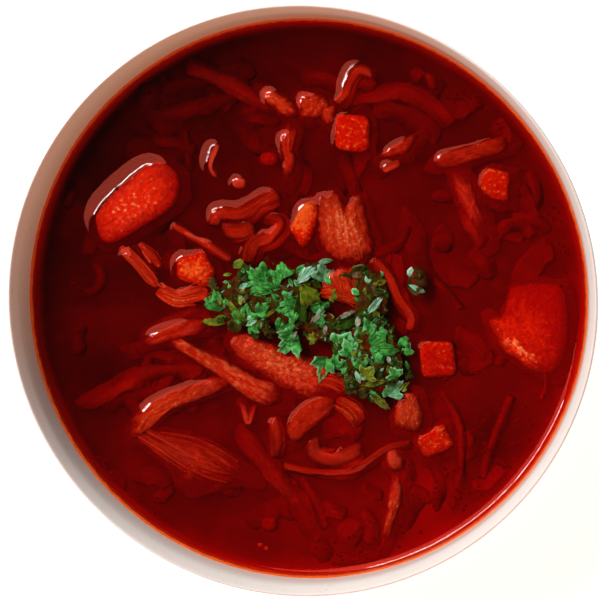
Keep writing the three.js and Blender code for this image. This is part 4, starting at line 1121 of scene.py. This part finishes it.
# Patches where the broth is darker, with a negative strength, or brighter than round about: x, y, reach and
# strength.
CLOUDS = [
    (60, 22, 17, -0.2), (57, -42, 13, -0.4), (36, -62, 15, 0.8), (-62, -27, 16, -0.4), (38, 60, 22, -0.15),
    (-2, -70, 13, 0.3), (38, 8, 11, 0.3), (-30, -58, 15, -0.3), (30, 42, 12, -0.1), (-22, 66, 14, -0.2),
]


def murk_shape():
    """The broth below the clear layer, down to the bowl's floor; its lid rises at the wall."""
    top = LEVEL - MURK_DEPTH
    wall = wall_curve(INNER_RADIUS + 0.15, LIP_CENTRE, FLOOR_HEIGHT - 0.1, 40, 0.03)
    rings = [(inner_radius(top) + 0.5, top - 0.2)]
    rings += [(r, top) for r in [86.2, 85.8, *np.linspace(85.4, 2, 84)]]
    points, quads, tones = capped(np.vstack([wall[wall[:, 1] < top - 0.5], rings]), 120, FLOOR_HEIGHT, top)
    lid = points[:, 2] > top - 0.25
    points[lid, 2] += 0.5 * rough(points[lid] * 0.12, 9, 3) - 0.1
    radius = np.hypot(points[lid, 0], points[lid, 1])
    points[lid, 2] += 2.2 * np.clip((radius - 80.5) / 4.5, 0, 1) ** 2
    points[lid, 2] += 2.7 * np.clip((radius - 84.2) / 1.5, 0, 1) ** 1.5
    points[points[:, 2] > 40, :2] += OFF_CENTRE
    for x, y, reach, strength in CLOUDS:
        tones[:, 0] += strength * np.exp(-((points[:, 0] - x) ** 2 + (points[:, 1] - y) ** 2) / reach ** 2)
    tones[:, 0] = 0.5 + 0.5 * tones[:, 0]
    return points, quads, tones


def waterline():
    """The thin edge of broth that clings to the wall, orange because it is thin."""
    turns, top = 900, LEVEL + WALL_CLIMB
    r = inner_radius(top)
    profile = [(r + 0.5, top + 0.5), (r + 0.02, top + 0.42), (r - 0.22, top + 0.16), (r - 0.5, top - 0.12),
               (r - 0.95, top - 0.44), (r - 0.6, top - 1.0), (r + 0.5, top - 1.0)]
    rings = profile + profile[:1]
    points = lathe(rings, turns)
    angle = np.arctan2(points[:, 1], points[:, 0])
    at = np.column_stack([np.cos(angle) * r, np.sin(angle) * r, angle * 0])
    row = np.arange(len(points)) // turns
    ticks = 0.3 * np.clip(rough(at * 1.3, 5, 2), 0, 1) + 0.22 * rough(at * 0.4, 6, 3)
    points[:, 2] += np.where((row == 1) | (row == 2), ticks, 0)
    inward = np.where((row == 3) | (row == 4), 0.25 * rough(at * 0.8, 8, 3), 0)
    points[:, :2] *= (1 - inward / r)[:, None]
    points[:, :2] += OFF_CENTRE
    tone = np.choose(row % len(profile), [1, 1, 0.9, 0.45, 0, 0, 1])
    shape = (points, sides(len(rings), turns), np.column_stack([tone, tone * 0]))
    mesh_object("broth_waterline", shape, [EDGE], ["broth"]).visible_shadow = False


# Patches of droplets of fat: centre, reach both ways, turn and count; bubbles: x, y and radius.
DROPLETS = [([56, -47], [9, 24], -38, 64), ([78, 20], [4, 16], 0, 22), ([20, -76], [22, 5], 10, 22),
            ([-52, -62], [7, 20], 45, 18), ([58, 52], [6, 20], 45, 12)]
BUBBLES = [(-71.9, 4.3, 0.9), (-70.4, 3.0, 0.6), (-57.6, 34.6, 0.7), (44.4, -23.8, 0.8), (-23.2, 24.8, 0.6),
           (48.6, -60.6, 0.7)]


def droplets(skin):
    """Round spots of fat that lie on the broth's skin, and a few bubbles that stand higher."""
    rnd = np.random.default_rng(17)
    spots = [(x, y, r, 0.5 * r) for x, y, r in BUBBLES]
    for centre, reach, turn, count in DROPLETS:
        for _ in range(count):
            a = 2 * math.pi * rnd.random()
            at = np.array([math.cos(a) * reach[0], math.sin(a) * reach[1], 0]) * rnd.random() ** 0.5
            x, y, unused = turned(at, turn)
            r = rnd.uniform(0.3, 0.8)
            spots.append((centre[0] + x, centre[1] + y, r, 0.16 * r))
    parts = []
    for x, y, r, high in spots:
        if math.hypot(x, y) >= OPEN_RADIUS:
            continue
        profile = [(0.05, -0.12), (0.9 * r, -0.12), (r, 0.0), (0.94 * r, 0.3 * high), (0.7 * r, 0.7 * high),
                   (0.4 * r, 0.92 * high), (0.05, high)]
        points, quads, tones = capped(profile, 13, -0.12, high)
        # 0 in the middle of a drop, 1 at its edge, where fat() paints the lighter rim as a painted highlight.
        tones[:, 0] = np.clip((np.hypot(*points[:, :2].T) / r - 0.5) / 0.5, 0, 1)
        i, j = (min(max(round(v / GRID + (len(skin) - 1) / 2), 0), len(skin) - 1) for v in (x, y))
        parts.append((points + [x, y, LEVEL + skin[i, j] + 0.05], quads, tones))
    mesh_object("broth_droplets", joined(parts), [FAT]).visible_shadow = False


# ---------------------------------------------------------------- parsley

# Angle and reach of each tooth of a leaf, and the reaches of the notches between them.
LEAF_TEETH = {
    "trident": (
        [(-70, .5), (-52, .8), (-36, .62), (-15, .8), (0, 1), (15, .8), (36, .62), (52, .8), (70, .5)],
        [.64, .74, .62, .82, .82, .62, .74, .64]),
    "frond": (
        [(-84, .6), (-62, .86), (-46, .7), (-20, .86), (-4, 1), (12, .84), (34, .66), (50, .9), (68, .6)],
        [.62, .74, .58, .8, .82, .58, .74, .62]),
    "blade": ([(-38, .42), (-24, .7), (-10, .88), (2, 1), (14, .84), (27, .66), (40, .4)],
              [.5, .72, .86, .86, .7, .48]),
    "oval": ([(-68, .42), (-46, .74), (-30, .9), (-12, .98), (8, 1), (24, .8), (48, .62)],
             [.5, .9, .8, 1.02, .96, .6]),
}


def outline(kind, rnd):
    """Angles and reaches of a leaf's teeth and of the notches between them."""
    teeth, notch = LEAF_TEETH[kind]
    angles, reaches = [], []
    for k, (angle, reach) in enumerate(teeth):
        angles.append(angle + rnd.normal(0, 1.5))
        reaches.append(reach * rnd.uniform(0.9, 1.08))
        if k < len(notch):
            angles.append((angle + teeth[k + 1][0]) / 2)
            reaches.append(notch[k] * rnd.uniform(0.9, 1.06))
    return np.radians(angles), np.array(reaches)


def leaf(kind, size, wide, seed, rings):
    """A cut parsley leaf: base at the origin, tip along +X, its lobes ridged along their veins."""
    rnd = np.random.default_rng(seed)
    angles, reaches = outline(kind, rnd)
    t = np.linspace(0, len(angles) - 1, 2 * (len(angles) - 1) + 1)
    k = np.minimum(t.astype(int), len(angles) - 2)
    f = t - k
    f = f * f * (3 - 2 * f)
    theta = angles[k] * (1 - f) + angles[k + 1] * f
    reach = (reaches[k] * (1 - f) + reaches[k + 1] * f) * size
    vein = np.where(k % 2 == 0, 1 - 2 * f, 2 * f - 1)
    share = np.linspace(0.02, 1, rings)
    x = share[:, None] * reach * np.cos(theta)
    y = share[:, None] * reach * np.sin(theta) * wide * 1.25
    u, v = x / size, y / size
    fold, curl, twist = rnd.uniform(0.0, 0.62), rnd.uniform(-0.5, 0.2), rnd.normal(0, 0.3)
    z = size * (fold * np.abs(v) + curl * (u - 0.4) ** 2 + twist * u * v)
    z += (0 if kind == "oval" else -0.03) * size * vein * share[:, None]
    z += size * 0.09 * rough(over(u * 3, v * 3, seed), seed)
    top = over(x, y, z).reshape(-1, 3)
    n, m = len(top), len(theta)
    i, j = np.meshgrid(np.arange(rings - 1), np.arange(m - 1), indexing="ij")
    a = (i * m + j).ravel()
    face = np.stack([a, a + m, a + m + 1, a + 1], 1)
    loop = np.concatenate([np.arange(m), np.arange(1, rings) * m + m - 1,
                           (rings - 1) * m + np.arange(m - 2, -1, -1), np.arange(rings - 2, 0, -1) * m])
    after = np.roll(loop, -1)
    rim = np.stack([loop, after, after + n, loop + n], 1)
    # Tones rise towards the tips, which herb() paints paler as a painted highlight; the underside and its rim
    # stand at 0.8.
    tones = np.concatenate([np.repeat(share ** 3, m) * 0.5 + rnd.uniform(0.0, 0.45), np.full(n, 0.8)])
    return (np.concatenate([top, top - [0, 0, 0.15]]), np.concatenate([face, face[:, ::-1] + n, rim]),
            np.stack([tones, tones * 0], 1))


# Every leaf that can be told apart: form, look, base x and y, length, direction in degrees, breadth.
LEAVES = [
    ("blade", "lime", -21.5, 10, 4.5, 33, 0.9), ("trident", "fresh", -11.1, 5.3, 7.8, 148, 1),
    ("trident", "fresh", -6.9, 4.2, 7.9, 125, 0.62), ("blade", "fresh", -8.6, 2.6, 6.4, 158, 0.8),
    ("trident", "fresh", -5.6, 7, 5.4, 93, 0.95), ("blade", "painted_highlight", -19.2, 3.9, 3.4, 28, 0.7),
    ("blade", "fresh", -15.8, 2.5, 2.7, 43, 0.8), ("oval", "olive", -18.1, 1.5, 2.5, 24, 0.9),
    ("blade", "painted_highlight", -19.3, 0.8, 1.5, 34, 0.8), ("blade", "fresh", -1.4, 8.5, 3.4, 48, 0.9),
    ("blade", "painted_highlight", -1.4, 5.2, 8.9, 46, 0.55), ("trident", "pale", 6.6, 5.7, 7.1, 94, 0.62),
    ("blade", "pale", 5, 12, 4.8, 5, 0.5), ("blade", "fresh", 9.2, 5, 3.4, 126, 0.7),
    ("trident", "fresh", -25.5, -3.4, 7, 102, 0.72), ("trident", "fresh", -17.6, -6.5, 6.5, 82, 0.85),
    ("blade", "lime", -17.6, -6.8, 9.1, 126, 0.3), ("blade", "painted_highlight", -17.3, -7.9, 5, 34, 0.5),
    ("blade", "painted_highlight", -17.1, -5.9, 3, 34, 0.6), ("trident", "fresh", -13.8, -4, 5.7, 34, 0.62),
    ("blade", "lime", -11.3, -4.7, 4.3, 32, 0.45), ("trident", "fresh", -0.8, -0.9, 7.2, -167, 0.95),
    ("trident", "fresh", -0.5, -2, 6.4, -159, 0.7), ("blade", "painted_highlight", -3.7, 2, 1.8, 43, 0.9),
    ("oval", "lime", 1.2, 5.1, 7.9, -61, 0.62), ("oval", "dark", -0.1, 2.2, 8.6, -84, 0.42),
    ("blade", "grey", 2.6, -6.8, 6.2, 39, 0.4), ("blade", "painted_highlight", 4.6, -4.2, 2.8, 48, 0.6),
    ("blade", "lime", -23.5, -7.1, 8.2, 176, 0.36), ("oval", "olive", -20.7, -10.3, 4.5, 101, 0.9),
    ("oval", "dark", -16, -11.2, 3.3, 41, 0.9), ("trident", "fresh", -7.7, -10.3, 7.4, 35, 0.72),
    ("frond", "fresh", -1.3, -10.7, 8.5, -135, 0.7), ("blade", "fresh", -5.3, -13.2, 4.8, 17, 0.7),
    ("blade", "grey", -2.9, -11.4, 2.7, 54, 0.6), ("oval", "dark", 9.8, -7.7, 7.8, 23, 0.5),
    ("blade", "grey", 10.4, -5.7, 7.2, 24, 0.3), ("blade", "grey", 17.3, -8.2, 4, 84, 0.6),
    ("blade", "grey", 7.2, -10.1, 3.1, 81, 0.6), ("blade", "painted_highlight", 7.2, -12.3, 2.2, 77, 0.5),
    ("blade", "painted_highlight", 21, 5.3, 3.5, 104, 0.85), ("oval", "olive", 14.5, 8.1, 6.4, 23, 0.6),
    ("oval", "olive", 21.1, 5.9, 4.9, -70, 0.6), ("oval", "olive", 15.7, 6.9, 4.2, 170, 0.6),
    ("blade", "painted_highlight", 20.4, -3.9, 7.8, 51, 0.4), ("trident", "fresh", 21.7, -9.6, 6, 58, 0.95),
    ("trident", "fresh", 20.8, -12.4, 7.6, 21, 0.75), ("trident", "fresh", 21.3, -13.9, 9.3, -7, 0.62),
    ("blade", "fresh", 24.2, -13.9, 3.6, -157, 0.8), ("trident", "fresh", 11.5, -15, 7.2, 55, 0.95),
    ("trident", "fresh", 15.6, -16.4, 5.5, 116, 0.8), ("trident", "fresh", 9.8, -21.5, 6.5, 83, 0.55),
    ("blade", "painted_highlight", 16.4, -10.6, 1.5, 53, 0.8), ("trident", "fresh", 18.6, -21, 5.2, 99, 0.6),
    ("blade", "painted_highlight", 16, -19.5, 3.1, 92, 0.4), ("frond", "fresh", 7.6, -17.3, 8.5, -104, 0.55),
    ("trident", "lime", 19.2, -23.5, 5.4, 46, 0.85), ("blade", "painted_highlight", 18.1, -25.4, 4.7, 106, 0.5),
    ("blade", "painted_highlight", 18.3, -24.1, 2.2, 33, 0.6), ("blade", "lime", 18.1, -26, 8.9, 11, 0.3),
    ("blade", "painted_highlight", 24.2, -21.3, 1.8, 37, 0.6), ("trident", "pale", 26.5, -29.2, 7.2, 43, 0.6),
    ("oval", "dark", 13.4, -26.4, 3.3, 39, 0.9), ("oval", "olive", 17.3, -29.7, 3.9, 45, 0.8),
    ("blade", "lime", 21.3, -28.6, 7.7, -41, 0.45), ("trident", "fresh", 32.1, -16.8, 4.3, 74, 0.6),
    ("blade", "painted_highlight", 27.5, -19.2, 3, 109, 0.6), ("blade", "fresh", 24.6, -18.7, 3.7, 104, 0.8),
    ("blade", "painted_highlight", 33.2, 7.3, 3.5, 80, 0.85), ("trident", "olive", 32.5, 4.2, 6.3, 17, 0.7),
    ("blade", "painted_highlight", 32.9, 5.2, 5.8, -25, 0.42), ("oval", "olive", 35.7, 7, 2.2, 84, 0.7),
    ("blade", "lime", 13.2, -22.3, 3.5, 41, 0.12), ("blade", "lime", -10.9, -4.3, 5, -87, 0.12),
    ("blade", "painted_highlight", 21.5, -17.7, 1.6, 59, 0.5), ("blade", "fresh", 20.6, -17.1, 3.2, -58, 0.5),
    ("oval", "olive", 1.7, -6.7, 4.2, -20, 0.5), ("oval", "dark", 11.5, -17, 3.5, 124, 0.6),
    ("blade", "olive", -12.2, -8.3, 5.3, -21, 0.5), ("oval", "olive", 26.2, -20.3, 3.7, 157, 0.6),
]
LOOKS = list(HERBS)
# What lies under the leaves, as in the solids.
HEAP_CORES = [
    dict(at=[-10.4, 0.8], size=[36, 20.6, 5.6], proud=3, turn=3, seed=151),
    dict(at=[3.8, -6.1], size=[26, 11, 5], proud=2.6, turn=-32, seed=152),
    dict(at=[21.5, 1.8], size=[12, 18, 5], proud=2.4, turn=-8, seed=154),
    dict(at=[21.5, -16.3], size=[20, 27, 5.6], proud=3, turn=14, seed=153),
]
SPRIG_CORE = dict(at=[35.7, 7.1], size=[6.4, 8, 2.6], proud=1.6, turn=20, seed=171)
# What a bed has of its solid's size.
BED_SHARE = [0.9, 0.86, 1]
# Patches of small bits: centre, reach both ways, turn and count; and the shares of the looks in them.
HEAP_BITS = [
    ([-10.4, 0.8], [19, 10.5], 4, 140), ([21.4, -16.5], [11, 15], 14, 100), ([21.5, 3.4], [5, 7], 0, 22),
    ([3.8, -6.1], [12, 5], -32, 30),
]
LOOK_SHARES = [0.26, 0.04, 0.14, 0.2, 0.26, 0.07, 0.03]
GOLDEN_ANGLE = 2.39996


def beds():
    """Wet heaps a little smaller than the solids, which close the gaps between the leaves; their dark brown
    is partly painted shade under the leaves.
    """
    made = []
    for name, cores in (("parsley_heap", HEAP_CORES), ("parsley_sprig", [SPRIG_CORE])):
        smaller = [dict(core, size=np.array(core["size"]) * BED_SHARE) for core in cores]
        shape = at_level([lump(**core, squareness=2.3, relief=0.12, coarse=0.5, cell=0.72, most=40)
                          for core in smaller])
        mesh_object(name + "_bed", shape, [BED], [name])
        made.append(shape)
    return made


def chopped():
    """Small cut bits between the leaves, on an even spiral over each patch."""
    rnd = np.random.default_rng(31)
    rows = []
    for centre, reach, turn, count in HEAP_BITS:
        way = math.radians(turn)
        for i in range(count):
            r, a = math.sqrt((i + 0.5) / count), i * GOLDEN_ANGLE + rnd.uniform(0, 0.7)
            u, v = r * math.cos(a) * reach[0], r * math.sin(a) * reach[1]
            x = centre[0] + u * math.cos(way) - v * math.sin(way)
            y = centre[1] + u * math.sin(way) + v * math.cos(way)
            look = str(rnd.choice(LOOKS, p=LOOK_SHARES))
            # The pale looks, the painted highlight among them, come only as small narrow blades.
            light = look in ("painted_highlight", "grey", "pale")
            kind = "blade" if light else str(rnd.choice(["blade", "blade", "trident", "frond"]))
            size, turned_by = rnd.uniform(1.4, 2.6 if light else 4.6), rnd.uniform(0, 360)
            wide = rnd.uniform(0.2, 0.4) if light else rnd.uniform(0.4, 0.9)
            rows.append((kind, look, x, y, size, turned_by, wide))
    return rows


def lay_leaves(ground):
    """Lays the leaves one on another, each on whatever it finds below."""
    trees = [ground]
    heap, sprig = [], []
    for k, (kind, look, x, y, size, turn, wide) in enumerate(chopped() + LEAVES):
        points, quads, tones = leaf(kind, size, wide, 600 + k, 3 if size < 3.4 else 4)
        flat = turned(points, turn) + [x, y, 0]
        half = len(flat) // 2
        probe = np.concatenate([np.arange(0, half, max(1, half // 26)), [half - 1]])
        below = np.max([tops(t, flat[probe, 0], flat[probe, 1]) for t in trees], axis=0)
        below = np.maximum(below, 0.15)
        slope = float(np.clip(np.polyfit(points[probe, 0] / size, below, 1)[0], -0.3 * size, 0.3 * size))
        flat[:, 2] += slope * points[:, 0] / size
        flat[:, 2] += LEVEL + np.quantile(below - flat[probe, 2], 0.75) + 0.12
        shape = (flat, quads, tones)
        trees.append(tree_of([shape]))
        (sprig if x > 30 else heap).append((shape, look))
    for name, group in (("parsley_heap", heap), ("parsley_sprig", sprig)):
        index = np.concatenate([np.full(len(shape[1]), LOOKS.index(look)) for shape, look in group])
        shape = joined([shape for shape, look in group])
        mesh_object(name + "_leaves", shape, HERBS.values(), [name], index)


bowl()
make_floating()
make_sunk()
lay_leaves(tree_of(FLOATING + beds()))
xs, ys, radius, skin = surface_heights(tree_of(FLOATING))
mesh_object("broth_surface", broth_shape(xs, ys, radius, skin), [CLEAR], ["broth"])
mesh_object("broth_depth", murk_shape(), [MURK], ["broth"])
waterline()
droplets(skin)


# ---------------------------------------------------------------- studio

# Fitted to the photo's rim and waterline.
CAMERA_AT, CAMERA_TARGET, LENS = (0.078557, 0.060969, 0.651702), (0.000823, 0.001575, 0.060), 119.476


def look(ob, target):
    way = (Vector(target) - ob.location).normalized()
    ob.rotation_mode = "QUATERNION"
    ob.rotation_quaternion = Vector((0, 0, -1)).rotation_difference(way)


def camera():
    data = bpy.data.cameras.new("camera")
    data.sensor_width = 36
    data.lens = LENS
    ob = bpy.data.objects.new("camera", data)
    bpy.context.scene.collection.objects.link(ob)
    ob.location = CAMERA_AT
    look(ob, CAMERA_TARGET)
    bpy.context.scene.camera = ob


def softbox(name, way, distance, size, radiance, colour=(1, 1, 1)):
    """A rectangular light in the direction given, its first side level, facing the bowl."""
    data = bpy.data.lights.new(name, "AREA")
    data.shape = "RECTANGLE"
    data.size, data.size_y = size
    data.energy = radiance * math.pi * size[0] * size[1]
    data.color = colour
    ob = bpy.data.objects.new(name, data)
    bpy.context.scene.collection.objects.link(ob)
    back = Vector(way).normalized()
    across = Vector((-back.y, back.x, 0)).normalized()
    turn = Matrix((across, back.cross(across), back)).transposed().to_4x4()
    ob.matrix_world = Matrix.Translation(back * distance + Vector((0, 0, 0.05))) @ turn
    return ob


def towards(azimuth, elevation):
    a, e = math.radians(azimuth), math.radians(elevation)
    return math.cos(a) * math.cos(e), math.sin(a) * math.cos(e), math.sin(e)


def world():
    """Even pale light for matt surfaces; what the broth mirrors is dark overhead, so it stays clear."""
    made = bpy.data.worlds.new("studio")
    bpy.context.scene.world = made
    made.use_nodes = True
    tree = made.node_tree
    tree.nodes.clear()
    out = tree.nodes.new("ShaderNodeOutputWorld")
    pale, dim, both, path = (tree.nodes.new("ShaderNode" + kind) for kind in (
        "Background", "Background", "MixShader", "LightPath"))
    pale.inputs["Color"].default_value = (1, 0.95, 0.92, 1)
    pale.inputs["Strength"].default_value = 0.17
    dim.inputs["Color"].default_value = (1, 0.6, 0.5, 1)
    dim.inputs["Strength"].default_value = 0.05
    tree.links.new(path.outputs["Is Glossy Ray"], both.inputs[0])
    tree.links.new(pale.outputs[0], both.inputs[1])
    tree.links.new(dim.outputs[0], both.inputs[2])
    tree.links.new(both.outputs[0], out.inputs[0])


def floor():
    mesh = bpy.data.meshes.new("floor")
    r = 3.0
    mesh.from_pydata([(-r, -r, 0), (r, -r, 0), (r, r, 0), (-r, r, 0)], [], [(0, 1, 2, 3)])
    mesh.materials.append(studio_floor())
    ob = bpy.data.objects.new("floor", mesh)
    bpy.context.scene.collection.objects.link(ob)


camera()
floor()
world()
softbox("window", (-0.425, 0.32, 1), 0.95, (0.60, 0.40), 4.8, (1, 0.14, 0.08))
softbox("glint", (-0.56, 0.385, 1), 0.93, (0.55, 0.045), 28)
for lamp in (softbox("key", towards(130, 31), 0.95, (0.45, 0.35), 12, (1, 0.97, 0.94)),
             softbox("fill", towards(-70, 11), 1.0, (0.6, 0.14), 20, (1, 0.4, 0.18)),
             softbox("side", towards(128, 46), 0.96, (0.60, 0.40), 5.6, (0.36, 0.92, 0.96))):
    lamp.visible_glossy = False
bpy.context.scene.view_settings.view_transform = "Standard"
